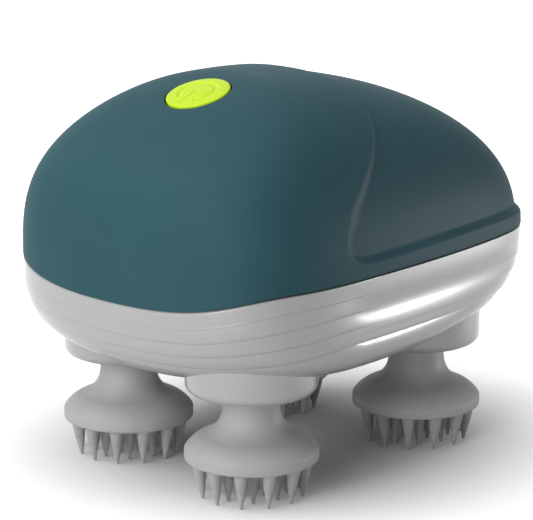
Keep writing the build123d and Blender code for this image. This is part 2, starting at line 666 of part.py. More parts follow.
with BuildPart() as bearing_master:
    with BuildSketch(Plane.XY.offset(BEARING_TOP_Z - BEARING_HEIGHT)):
        Circle(BEARING_RADIUS)
        Circle(SHAFT_RADIUS + RUNNING_CLEARANCE, mode=Mode.SUBTRACT)
    extrude(amount=BEARING_HEIGHT)
    with BuildSketch(Plane.XY.offset(BEARING_TOP_Z)):
        Circle(BEARING_RADIUS - BEARING_RACE)
        Circle(SHAFT_RADIUS + BEARING_RACE, mode=Mode.SUBTRACT)
    extrude(amount=-BEARING_SHIELD, mode=Mode.SUBTRACT)

with BuildPart() as bush_master:
    with BuildSketch(Plane.XY.offset(PLATE_Z)):
        Circle(BUSH_RADIUS)
    extrude(amount=PLATE_THICKNESS)
    with BuildSketch(Plane.XY.offset(PLATE_TOP_Z)):
        Circle(BUSH_FLANGE_RADIUS)
    extrude(amount=BUSH_FLANGE_HEIGHT)
    with BuildSketch(Plane.XY.offset(PLATE_Z)):
        Circle(SHAFT_RADIUS + RUNNING_CLEARANCE)
    extrude(amount=BUSH_TOP_Z - PLATE_Z, mode=Mode.SUBTRACT)

head_gear_blank = gear_blank(HEAD_TEETH, GEAR_HUB_RADIUS)
head_gear_bore = flatted_bore(SHAFT_RADIUS, GEAR_Z - END_PLAY, PLATE_Z)
for place, (x, y) in HEADS.items():
    for name, master in (
        ("claw_head", claw_master.part),
        ("head_hub", hub_bored.part),
        ("head_shaft", shaft_master.part),
        ("shaft_seal", seal_master.part),
        ("lower_bearing", bearing_master.part),
        ("upper_bush", bush_master.part),
    ):
        with BuildPart() as copy:
            with Locations((x, y, 0)):
                add(master)
        finish(copy, f"{name}_{place}")
    # turned so that its gap meets the drive gear's tooth on the line between the two axes
    bearing = math.degrees(math.atan2(y - HEADS_Y, x - DRIVE_X))
    turn = bearing * (1 + DRIVE_TEETH / HEAD_TEETH) + 180 + 180 / HEAD_TEETH
    with BuildPart() as head_gear:
        with Locations(Location((x, y, GEAR_Z), (0, 0, turn))):
            add(head_gear_blank)
        with Locations((x, y, 0)):
            add(head_gear_bore, mode=Mode.SUBTRACT)
    finish(head_gear, f"head_gear_{place}")

# ------------------------------------------------------------------ drive
drive_gear_blank = gear_blank(DRIVE_TEETH, GEAR_HUB_RADIUS)
drive_gear_bore = flatted_bore(DRIVE_SHAFT_RADIUS, GEAR_Z - END_PLAY, PLATE_Z)
with BuildPart() as drive_gear:
    with Locations((DRIVE_X, HEADS_Y, GEAR_Z)):
        add(drive_gear_blank)
    with Locations((DRIVE_X, HEADS_Y, 0)):
        add(drive_gear_bore, mode=Mode.SUBTRACT)
finish(drive_gear, "drive_gear")

with BuildPart() as drive_shaft:
    with BuildSketch(Plane.XY.offset(BEARING_TOP_Z - PIVOT_DEPTH + END_PLAY)):
        Circle(DRIVE_SHAFT_RADIUS)
    extrude(amount=PLATE_TOP_Z + GEARBOX_SOCKET - BEARING_TOP_Z + PIVOT_DEPTH - 2 * END_PLAY)
    add(flat_cutter(DRIVE_SHAFT_RADIUS, GEAR_Z - END_PLAY, PLATE_Z - END_PLAY), mode=Mode.SUBTRACT)
with BuildPart() as drive_shaft_placed:
    with Locations((DRIVE_X, HEADS_Y, 0)):
        add(drive_shaft.part)
finish(drive_shaft_placed, "drive_shaft")

with BuildPart() as gear_plate:
    with BuildSketch(Plane.XY.offset(PLATE_Z)):
        with Locations((0, HEADS_Y)):
            RectangleRounded(PLATE_WIDTH, PLATE_LENGTH, PLATE_CORNER)
        with Locations(*HEADS.values()):
            Circle(BUSH_RADIUS + FIT_CLEARANCE, mode=Mode.SUBTRACT)
        with Locations(DRIVE_XY):
            Circle(GEARBOX_PILOT_RADIUS + FIT_CLEARANCE, mode=Mode.SUBTRACT)
        with Locations(*PLATE_SCREWS):
            Circle(SCREW_RADIUS + SCREW_CLEARANCE, mode=Mode.SUBTRACT)
        with Locations(*MOTOR_SCREWS):
            Circle(SMALL_SCREW_RADIUS + SCREW_CLEARANCE, mode=Mode.SUBTRACT)
        with Locations((-PLATE_WINDOW_X, HEADS_Y), (DRIVE_X + PLATE_WINDOW_X, HEADS_Y)):
            SlotOverall(PLATE_WINDOW_LENGTH, PLATE_WINDOW_WIDTH, rotation=90, mode=Mode.SUBTRACT)
    extrude(amount=PLATE_THICKNESS)
finish(gear_plate, "gear_plate")

with BuildPart() as gearbox:
    with BuildSketch(Plane.XY.offset(PLATE_TOP_Z)):
        with Locations(DRIVE_XY):
            Circle(GEARBOX_RADIUS)
    extrude(amount=GEARBOX_HEIGHT)
    chamfer(gearbox.edges().group_by(Axis.Z)[-1], GEARBOX_CHAMFER)
    with BuildSketch(Plane.XY.offset(PLATE_TOP_Z)):
        with Locations(DRIVE_XY):
            Circle(GEARBOX_PILOT_RADIUS)
    extrude(amount=-PLATE_THICKNESS)
    with BuildSketch(Plane.XY.offset(PLATE_Z)):
        with Locations(DRIVE_XY):
            Circle(DRIVE_SHAFT_RADIUS + RUNNING_CLEARANCE)
    extrude(amount=PLATE_THICKNESS + GEARBOX_SOCKET, mode=Mode.SUBTRACT)
    with BuildSketch(Plane.XY.offset(PLATE_TOP_Z)):
        with Locations(*MOTOR_SCREWS):
            Circle(SMALL_SCREW_RADIUS)
    extrude(amount=SMALL_SCREW_LENGTH, mode=Mode.SUBTRACT)
finish(gearbox, "gearbox")

with BuildPart() as drive_motor:
    with BuildSketch(Plane.XY.offset(PLATE_TOP_Z + GEARBOX_HEIGHT)):
        with Locations(DRIVE_XY):
            Circle(MOTOR_RADIUS)
    extrude(amount=MOTOR_LENGTH)
    fillet(drive_motor.edges().group_by(Axis.Z)[-1], MOTOR_SHOULDER)
    with BuildSketch(Plane.XY.offset(PLATE_TOP_Z + GEARBOX_HEIGHT + MOTOR_LENGTH)):
        with Locations(DRIVE_XY):
            Circle(MOTOR_BOSS_RADIUS)
    extrude(amount=MOTOR_BOSS_HEIGHT)
    with BuildSketch(Plane.XY.offset(PLATE_TOP_Z + GEARBOX_HEIGHT + MOTOR_LENGTH)):
        with Locations((DRIVE_X - MOTOR_TAB_SPACING, HEADS_Y), (DRIVE_X + MOTOR_TAB_SPACING, HEADS_Y)):
            Rectangle(MOTOR_TAB_THICKNESS, MOTOR_TAB_WIDTH)
    extrude(amount=MOTOR_BOSS_HEIGHT)
finish(drive_motor, "drive_motor")

small_screw = screw(
    SMALL_SCREW_LENGTH - 0.5, SMALL_SCREW_RADIUS - FIT_CLEARANCE,
    SMALL_SCREW_HEAD_RADIUS, SMALL_SCREW_HEAD_HEIGHT,
)
with BuildPart() as motor_screws:
    for x, y in MOTOR_SCREWS:
        with Locations(Location((x, y, PLATE_Z), (180, 0, 0))):
            add(small_screw)
finish(motor_screws, "motor_screws")

plate_screw = screw(
    PLATE_SCREW_LENGTH, SCREW_RADIUS - FIT_CLEARANCE, SCREW_HEAD_RADIUS, SCREW_HEAD_HEIGHT
)
with BuildPart() as plate_screws:
    for x, y in PLATE_SCREWS:
        with Locations((x, y, PLATE_TOP_Z)):
            add(plate_screw)
finish(plate_screws, "plate_screws")

shell_screw = screw(
    SHELL_SCREW_LENGTH, SCREW_RADIUS - FIT_CLEARANCE, SCREW_HEAD_RADIUS, SCREW_HEAD_HEIGHT
)
with BuildPart() as shell_screws:
    for x, y in SHELL_SCREWS:
        with Locations(Location((x, y, SHELL_SCREW_HEAD_Z), (180, 0, 0))):
            add(shell_screw)
finish(shell_screws, "shell_screws")

# ------------------------------------------------------------------ button
lens_radius = (BUTTON_RADIUS**2 + BUTTON_CROWN**2) / (2 * BUTTON_CROWN)
with BuildPart() as lens:
    with Locations(button_plane.offset(BUTTON_CROWN - lens_radius).location):
        Sphere(lens_radius)

with BuildPart() as power_button:
    with BuildSketch(button_plane.offset(-FLANGE_DEPTH)):
        Circle(BUTTON_RADIUS)
    extrude(amount=FLANGE_DEPTH + BUTTON_CROWN)
    with BuildSketch(button_plane.offset(-FLANGE_DEPTH - FLANGE_HEIGHT)):
        Circle(FLANGE_RADIUS)
    extrude(amount=FLANGE_HEIGHT)
    with BuildSketch(button_plane.offset(SEAL_RING_DEPTH - FLANGE_DEPTH)):
        Circle(BUTTON_RADIUS)
        Circle(SEAL_GROOVE_FLOOR, mode=Mode.SUBTRACT)
    extrude(amount=SEAL_GROOVE_WIDTH, mode=Mode.SUBTRACT)
    add(lens.part, mode=Mode.INTERSECT)
finish(power_button, "power_button")

with BuildPart() as button_seal:
    with Locations(button_plane.offset(SEAL_RING_DEPTH - FLANGE_DEPTH + SEAL_GROOVE_WIDTH / 2).location):
        Torus(SEAL_RING_MIDDLE, SEAL_RING_RADIUS)
finish(button_seal, "button_seal")

with BuildPart() as tact_switch:
    with BuildSketch(button_plane.offset(-BOARD_DEPTH)):
        RectangleRounded(SWITCH_SIZE, SWITCH_SIZE, 0.6)
    extrude(amount=SWITCH_HEIGHT)
    with BuildSketch(button_plane.offset(SWITCH_HEIGHT - BOARD_DEPTH)):
        Circle(SWITCH_PLUNGER_RADIUS)
    extrude(amount=SWITCH_PLUNGER_HEIGHT)
finish(tact_switch, "tact_switch")

with BuildPart() as control_board:
    with BuildSketch(button_plane.offset(-BOARD_DEPTH - BOARD_THICKNESS)):
        RectangleRounded(BOARD_WIDTH, BOARD_LENGTH, 2.0)
        with Locations(*BOARD_POSTS):
            Circle(SMALL_SCREW_RADIUS + SCREW_CLEARANCE, mode=Mode.SUBTRACT)
    extrude(amount=BOARD_THICKNESS)
finish(control_board, "control_board")

with BuildPart() as board_screws:
    under_board = button_plane.offset(-BOARD_DEPTH - BOARD_THICKNESS)
    for x, y in BOARD_POSTS:
        with Locations((under_board * Location((x, y, 0), (180, 0, 0)))):
            add(small_screw)
finish(board_screws, "board_screws")

# ------------------------------------------------------------------ battery and charging
CELL_Z = PLATE_TOP_Z + CELL_LIFT + CELL_RADIUS
cell_plane = Plane(origin=(-CELL_LENGTH / 2, CELL_Y, CELL_Z), x_dir=(0, 1, 0), z_dir=(1, 0, 0))
with BuildPart() as battery_cell:
    with BuildSketch(cell_plane):
        Circle(CELL_RADIUS)
    extrude(amount=CELL_LENGTH)
    chamfer(battery_cell.edges(), CELL_CHAMFER)
    with BuildSketch(cell_plane.offset(CELL_LENGTH)):
        Circle(CELL_RADIUS / 3)
    extrude(amount=CELL_CAP_HEIGHT)
finish(battery_cell, "battery_cell")

with BuildPart() as battery_cradle:
    with Locations((0, CELL_Y, PLATE_TOP_Z)):
        Box(CRADLE_LENGTH, 2 * (CELL_RADIUS + CRADLE_WALL), CELL_LIFT + CELL_RADIUS, align=STANDING)
    with BuildSketch(cell_plane):
        Circle(CELL_RADIUS + FIT_CLEARANCE)
    extrude(amount=CELL_LENGTH, mode=Mode.SUBTRACT)
    with Locations((0, HEADS_Y + PLATE_SCREW_Y, PLATE_TOP_Z)):
        Cylinder(SCREW_HEAD_RADIUS + SCREW_CLEARANCE, SCREW_HEAD_HEIGHT + SCREW_CLEARANCE,
                 align=STANDING, mode=Mode.SUBTRACT)
finish(battery_cradle, "battery_cradle")

bowl_rise = (WAIST_Z - BELLY_Z - WALL) / math.sin(math.radians(BELLY_STATION))
tail_share = share_left(PIN_DROP / bowl_rise, BOWL_CURVES["tail"])
CHARGE_BOARD_Y = BELLY_Y + (TAIL_Y - WALL - BELLY_Y) * tail_share - PIN_REACH
with BuildPart() as charge_pins:
    with BuildSketch(Plane.XZ.offset(-CHARGE_BOARD_Y)):
        with Locations(*[(x, PIN_Z) for x in PIN_XS]):
            Circle(PIN_RADIUS)
    extrude(amount=CHARGE_BOARD_Y - TAIL_Y)
    add(egg, mode=Mode.INTERSECT)
finish(charge_pins, "charge_pins")

with BuildPart() as charge_board:
    with Locations((0, CHARGE_BOARD_Y, PIN_Z)):
        Box(CHARGE_BOARD_WIDTH, BOARD_THICKNESS, CHARGE_BOARD_HEIGHT,
            align=(Align.CENTER, Align.MAX, Align.CENTER))
    fillet(charge_board.edges().filter_by(Axis.Y), 1.0)
finish(charge_board, "charge_board")
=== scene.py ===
"""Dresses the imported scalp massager: finishes, fine meshes of the outer pieces, light and camera.

Sizes in the classes are millimetres, as the product's drawings give them. Blender's own metres are
used only where a finished shape becomes a piece.
"""

import json
import logging
import math
from dataclasses import dataclass, field
from enum import Enum

import bmesh
import bpy
import numpy as np
from mathutils import Matrix, Vector


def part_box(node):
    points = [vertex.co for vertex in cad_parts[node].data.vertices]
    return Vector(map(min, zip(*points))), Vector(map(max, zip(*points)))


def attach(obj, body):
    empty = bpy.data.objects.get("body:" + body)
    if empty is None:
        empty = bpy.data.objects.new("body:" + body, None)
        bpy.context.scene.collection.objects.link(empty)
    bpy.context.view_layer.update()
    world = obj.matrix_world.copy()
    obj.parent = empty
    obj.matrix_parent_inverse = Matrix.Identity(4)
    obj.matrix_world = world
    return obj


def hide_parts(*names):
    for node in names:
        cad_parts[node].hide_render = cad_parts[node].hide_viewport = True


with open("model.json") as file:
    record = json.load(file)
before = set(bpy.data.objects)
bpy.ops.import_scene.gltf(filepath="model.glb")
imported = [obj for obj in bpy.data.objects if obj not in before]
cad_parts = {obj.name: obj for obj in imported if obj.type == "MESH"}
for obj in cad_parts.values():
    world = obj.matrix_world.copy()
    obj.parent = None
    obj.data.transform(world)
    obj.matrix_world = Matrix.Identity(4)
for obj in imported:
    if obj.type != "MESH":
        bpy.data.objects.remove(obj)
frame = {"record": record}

MM = 0.001
MERGE = 1e-4    # points nearer than this become one
SETTLE = 14     # rounds in which points find their height on the sloping seam
log = logging.getLogger("massager")

Colour = tuple[float, float, float]
Place = tuple[float, float]
Place3 = tuple[float, float, float]
Corner = tuple[Place, Place, Place]
Node = bpy.types.Node
Socket = bpy.types.NodeSocket


class Spot(Enum):
    """Where a head stands, as the product's parts are named."""

    FRONT_LEFT = "front_left"
    FRONT_RIGHT = "front_right"
    REAR_LEFT = "rear_left"
    REAR_RIGHT = "rear_right"


# ---- finishes
@dataclass(frozen=True)
class Wiring:
    """The nodes of a material or of the world, and the links between them."""

    tree: bpy.types.NodeTree

    @property
    def shader(self) -> Node:
        """The material's main shader."""
        return self.tree.nodes["Principled BSDF"]

    def join(self, source: Socket, target: Socket) -> None:
        """Links one socket to another."""
        self.tree.links.new(source, target)

    @staticmethod
    def fill(node: Node, **constants: float | tuple[float, ...]) -> None:
        """Fills in sockets of a node, whose names have _ for a space."""
        for name, value in constants.items():
            node.inputs[name.replace("_", " ")].default_value = value

    def add(self, kind: str, *sources: Socket, **constants: float | tuple[float, ...]) -> Node:
        """Adds a node.

        Args:
            kind: Its type, without the words that all shader nodes begin with.
            sources: Sockets that feed its first inputs.
            constants: Values of its other inputs, whose names have _ for a space.

        Returns:
            The node.
        """
        node = self.tree.nodes.new("ShaderNode" + kind)
        for source, target in zip(sources, node.inputs):
            self.join(source, target)
        self.fill(node, **constants)
        return node

    def combine(self, operation: str, first: Socket, second: Socket) -> Socket:
        """Adds one sum.

        Args:
            operation: What it does.
            first: Its first value.
            second: Its second value.

        Returns:
            The socket with the result.
        """
        node = self.add("Math", first, second)
        node.operation = operation
        return node.outputs["Value"]

    def seen_directly(self) -> Socket:
        """Tells what is looked at from what only lights the object.

        Returns:
            A socket that is 1 for camera, mirror and glass rays, and 0 for the light's own rays.
        """
        path = self.add("LightPath")
        seen = path.outputs["Is Camera Ray"]
        for other in ("Is Glossy Ray", "Is Transmission Ray"):
            seen = self.combine("MAXIMUM", seen, path.outputs[other])
        return seen

    def rise(self, distance: Socket, span: Place, height: float) -> Socket:
        """Adds a soft step of a value over a span of distances.

        Args:
            distance: Socket with the distance.
            span: Where the step begins and ends.
            height: Its height.

        Returns:
            The socket with the stepped value.
        """
        step = self.add("MapRange", distance, From_Min=span[0], From_Max=span[1], To_Max=height)
        step.interpolation_type = "SMOOTHSTEP"
        return step.outputs["Result"]


@dataclass(frozen=True)
class Finish:
    """A moulded, coated or metal surface with a fine grain and a slow wander of its colour.

    Attributes:
        name: Name of the Blender material.
        colour: Linear base colour.
        roughness: Mean roughness.
        metallic: Metal share.
        specular: Specular level of the base.
        coat: Weight of a clear coat.
        coat_roughness: Roughness of that coat.
        sheen: Weight of the velvety edge light of soft-touch coats.
        subsurface: Weight of the light that enters a soft part.
        grain: Size of the surface grain.
        grain_depth: Height of that grain.
        wander: Share by which the colour drifts over the surface.
        wander_size: Length of that drift.
    """

    name: str
    colour: Colour
    roughness: float
    metallic: float = 0.0
    specular: float = 0.5
    coat: float = 0.0
    coat_roughness: float = 0.1
    sheen: float = 0.0
    subsurface: float = 0.0
    grain: float = 0.35
    grain_depth: float = 0.006
    wander: float = 0.05
    wander_size: float = 9.0

    def material(self) -> bpy.types.Material:
        """Builds the shader, or gives the one that was built before.

        Returns:
            The Blender material of this finish.
        """
        known = bpy.data.materials.get(self.name)
        if known:
            return known
        made = bpy.data.materials.new(self.name)
        made.use_nodes = True
        wiring = Wiring(made.node_tree)
        wiring.fill(wiring.shader, Metallic=self.metallic, Specular_IOR_Level=self.specular,
                    Coat_Weight=self.coat, Coat_Roughness=self.coat_roughness,
                    Sheen_Weight=self.sheen, Sheen_Roughness=0.4,
                    Subsurface_Weight=self.subsurface, Subsurface_Scale=1.2 * MM)
        where = wiring.add("TexCoord").outputs["Object"]
        self.tint(wiring, where)
        self.texture(wiring, where)
        return made

    def tint(self, wiring: Wiring, where: Socket) -> None:
        """Lets the colour drift slowly between a lighter and a darker tone.

        Args:
            wiring: Nodes of the material.
            where: Socket with the place on the piece.
        """
        drift = wiring.add("TexNoise", where, Scale=1 / (self.wander_size * MM), Detail=2.0)
        self.tone(wiring, drift.outputs["Fac"], (0.3, 0.7))

    def tone(self, wiring: Wiring, source: Socket, ends: Place) -> None:
        """Colours the shader from a darker to a lighter tone.

        Args:
            wiring: Nodes of the material.
            source: Socket that picks the tone.
            ends: Its values at the darker and at the lighter tone.
        """
        ramp = wiring.add("ValToRGB", source)
        shares = (1 - self.wander, 1 + self.wander)
        for element, end, share in zip(ramp.color_ramp.elements, ends, shares):
            element.position = end
            element.color = (*[min(1.0, c * share) for c in self.colour], 1.0)
        wiring.join(ramp.outputs["Color"], wiring.shader.inputs["Base Color"])

    def texture(self, wiring: Wiring, where: Socket) -> None:
        """Gives the surface its fine grain, in height and in roughness.

        Args:
            wiring: Nodes of the material.
            where: Socket with the place on the piece.
        """
        grain = wiring.add("TexNoise", where, Scale=1 / (self.grain * MM), Detail=3.0)
        bump = wiring.add("Bump", Strength=1.0, Distance=self.grain_depth * MM)
        wiring.join(grain.outputs["Fac"], bump.inputs["Height"])
        wiring.join(bump.outputs["Normal"], wiring.shader.inputs["Normal"])
        spread = wiring.add("MapRange", grain.outputs["Fac"],
                            To_Min=max(0.02, self.roughness - 0.04),
                            To_Max=min(1.0, self.roughness + 0.04))
        wiring.join(spread.outputs["Result"], wiring.shader.inputs["Roughness"])


@dataclass(frozen=True)
class FlakeLacquer(Finish):
    """Satin metallic lacquer: flakes of slightly different tone under a thin clear film."""

    flake: float = 0.12

    def tint(self, wiring: Wiring, where: Socket) -> None:
        """Gives each flake a tone of its own.

        Args:
            wiring: Nodes of the material.
            where: Socket with the place on the piece.
        """
        flakes = wiring.add("TexVoronoi", where, Scale=1 / (self.flake * MM))
        split = wiring.add("SeparateColor", flakes.outputs["Color"])
        self.tone(wiring, split.outputs["Red"], (0.0, 1.0))


@dataclass(frozen=True)
class TurnedMetal(Finish):
    """Metal with the fine rings or lines that turning and drawing leave along one axis."""

    stretch: Place3 = (0.06, 0.06, 1.0)

    def texture(self, wiring: Wiring, where: Socket) -> None:
        """Stretches the grain round the part, so that it reads as machining lines.

        Args:
            wiring: Nodes of the material.
            where: Socket with the place on the piece.
        """
        lines = wiring.add("Mapping", where, Scale=self.stretch)
        super().texture(wiring, lines.outputs["Vector"])


SOFT_TOUCH = Finish("soft_touch_teal", (0.032, 0.092, 0.112), 0.55, specular=0.08,
                    grain=0.22, grain_depth=0.004, wander=0.03, wander_size=22)
SATIN_SILVER = FlakeLacquer("satin_silver_lacquer", (0.38, 0.382, 0.384), 0.4, metallic=0.08,
                            specular=0.3, coat=1.0, coat_roughness=0.16, grain=0.3,
                            grain_depth=0.002, wander=0.05)
LIME = Finish("lime_button", (0.63, 0.90, 0.018), 0.4, specular=0.25, subsurface=0.05,
              grain=0.25, grain_depth=0.003, wander=0.02)
SILICONE = Finish("grey_silicone", (0.44, 0.443, 0.447), 0.55, specular=0.4, subsurface=0.08,
                  sheen=0.04, grain=0.28, grain_depth=0.006, wander=0.03)
BLACK_RUBBER = Finish("black_rubber", (0.012, 0.012, 0.013), 0.7, specular=0.35, grain=0.2)

SLOT_FINISHES: dict[str, Finish] = {
    "soft_touch": SOFT_TOUCH,
    "satin_silver": SATIN_SILVER,
    "button_plastic": LIME,
    "silicone": SILICONE,
    "seal_rubber": BLACK_RUBBER,
    "hub_plastic": Finish("dark_hub_plastic", (0.10, 0.10, 0.11), 0.5, grain=0.4,
                          grain_depth=0.008),
    "steel": TurnedMetal("ground_steel", (0.56, 0.56, 0.57), 0.24, metallic=1.0),
    "bearing_steel": TurnedMetal("bearing_steel", (0.50, 0.50, 0.51), 0.16, metallic=1.0),
    "bush_bronze": Finish("sintered_bronze", (0.48, 0.31, 0.13), 0.42, metallic=1.0, grain=0.12,
                          grain_depth=0.012, wander=0.12, wander_size=0.6),
    "gear_plastic": Finish("natural_acetal", (0.80, 0.79, 0.74), 0.36, subsurface=0.1, wander=0.02),
    "frame_plastic": Finish("black_moulding", (0.03, 0.03, 0.033), 0.46, grain=0.5,
                            grain_depth=0.01),
    "gearbox_plastic": Finish("grey_moulding", (0.19, 0.20, 0.21), 0.44, grain=0.5,
                              grain_depth=0.01),
    "motor_steel": TurnedMetal("drawn_motor_can", (0.46, 0.46, 0.47), 0.28, metallic=1.0),
    "screw_steel": TurnedMetal("zinc_plate", (0.42, 0.42, 0.40), 0.33, metallic=1.0, wander=0.1),
    "switch_plastic": Finish("switch_black", (0.025, 0.025, 0.025), 0.4),
    "board": Finish("green_solder_mask", (0.015, 0.10, 0.045), 0.3, coat=0.4, wander=0.08,
                    wander_size=3),
    "cell_sleeve": Finish("blue_shrink_sleeve", (0.04, 0.14, 0.40), 0.27, coat=0.3),
    "pin_chrome": Finish("nickel_contact", (0.62, 0.60, 0.57), 0.14, metallic=1.0,
                         grain_depth=0.001),
}


# ---- shaping helpers
def lathe(profile: list[Place], steps: int) -> bmesh.types.BMesh:
    """Spins a profile round the Z axis.

    Args:
        profile: Points as radius and height, from the axis and back to it, or a closed ring.
        steps: Number of facets round the axis.

    Returns:
        A closed shape with its normals outwards.
    """
    shape = bmesh.new()
    corners = [shape.verts.new((radius, 0.0, height)) for radius, height in profile]
    edges = [shape.edges.new(pair) for pair in zip(corners, corners[1:])]
    bmesh.ops.spin(shape, geom=corners + edges, cent=(0, 0, 0), axis=(0, 0, 1), dvec=(0, 0, 0),
                   angle=math.tau, steps=steps, use_merge=True, use_duplicate=False)
    bmesh.ops.remove_doubles(shape, verts=shape.verts[:], dist=1e-5)
    bmesh.ops.recalc_face_normals(shape, faces=shape.faces[:])
    return shape


def arc(centre: Place, radius: float, start_deg: float, end_deg: float, steps: int) -> list[Place]:
    """Points along a circular arc in the profile's plane.

    Args:
        centre: Middle of the arc.
        radius: Its radius.
        start_deg: Angle of the first point.
        end_deg: Angle of the last point.
        steps: Number of chords.

    Returns:
        The points, both ends included.
    """
    angles = [math.radians(start_deg + (end_deg - start_deg) * k / steps) for k in range(steps + 1)]
    return [(centre[0] + radius * math.cos(a), centre[1] + radius * math.sin(a)) for a in angles]


def bezier(points: list[Place], steps: int) -> list[Place]:
    """Points along one cubic Bezier curve.

    Args:
        points: Its four control points.
        steps: Number of chords.

    Returns:
        The points, both ends included.
    """
    made = []
    for k in range(steps + 1):
        t = k / steps
        weights = ((1 - t) ** 3, 3 * (1 - t) ** 2 * t, 3 * (1 - t) * t * t, t**3)
        made.append(tuple(sum(w * p[i] for w, p in zip(weights, points)) for i in (0, 1)))
    return made


def sheet(columns: int, rows: int) -> tuple[bmesh.types.BMesh, np.ndarray, np.ndarray]:
    """Makes a flat grid, to be bent into a skin.

    Args:
        columns: Faces round the skin.
        rows: Faces along it.

    Returns:
        The grid, and for each point its share of the way round and the number of its row.
    """
    shape = bmesh.new()
    bmesh.ops.create_grid(shape, x_segments=columns, y_segments=rows, size=0.5)
    spots = np.array([vert.co[:2] for vert in shape.verts]) + 0.5
    return shape, spots[:, 0], np.rint(spots[:, 1] * rows).astype(int)


def move_to(shape: bmesh.types.BMesh, places: np.ndarray) -> None:
    """Moves every point of a shape to its own place."""
    for vert, place in zip(shape.verts, places):
        vert.co = place


def smooth_step(value: np.ndarray) -> np.ndarray:
    """Soft S from 0 to 1 over the same span."""
    held = np.clip(value, 0.0, 1.0)
    return held * held * (3 - 2 * held)


def add_copy(target: bmesh.types.BMesh, source: bmesh.types.BMesh, turn: Matrix) -> None:
    """Adds a moved copy of one shape to another.

    Args:
        target: Shape that receives the copy.
        source: Shape that is copied.
        turn: Where the copy goes.
    """
    carrier = bpy.data.meshes.new("carrier")
    source.to_mesh(carrier)
    carrier.transform(turn)
    target.from_mesh(carrier)
    bpy.data.meshes.remove(carrier)


@dataclass(frozen=True)
class Piece:
    """A modelled piece of the object.

    Attributes:
        name: Name of the Blender object.
        body: CAD body that it rides on.
        finish: Its surface.
        stands_for: CAD nodes that it replaces.
        crease_deg: Edges sharper than this stay crisp.
    """

    name: str
    body: str
    finish: Finish
    stands_for: tuple[str, ...] = ()
    crease_deg: float = 50.0

    def make(self, shape: bmesh.types.BMesh) -> bpy.types.Object:
        """Turns a shape in millimetres into the piece, in metres.

        Args:
            shape: The finished shape, which is freed.

        Returns:
            The object, at the origin, riding on its body.
        """
        mesh = bpy.data.meshes.new(self.name)
        bmesh.ops.transform(shape, matrix=Matrix.Scale(MM, 4), verts=shape.verts[:])
        for face in shape.faces:
            face.smooth = True
        shape.to_mesh(mesh)
        shape.free()
        mesh.set_sharp_from_angle(angle=math.radians(self.crease_deg))
        made = bpy.data.objects.new(self.name, mesh)
        bpy.context.scene.collection.objects.link(made)
        made.data.materials.append(self.finish.material())
        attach(made, self.body)
        if self.stands_for:
            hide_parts(*self.stands_for)
        log.info("%s: %d faces, on %s", self.name, len(mesh.polygons), self.body)
        return made


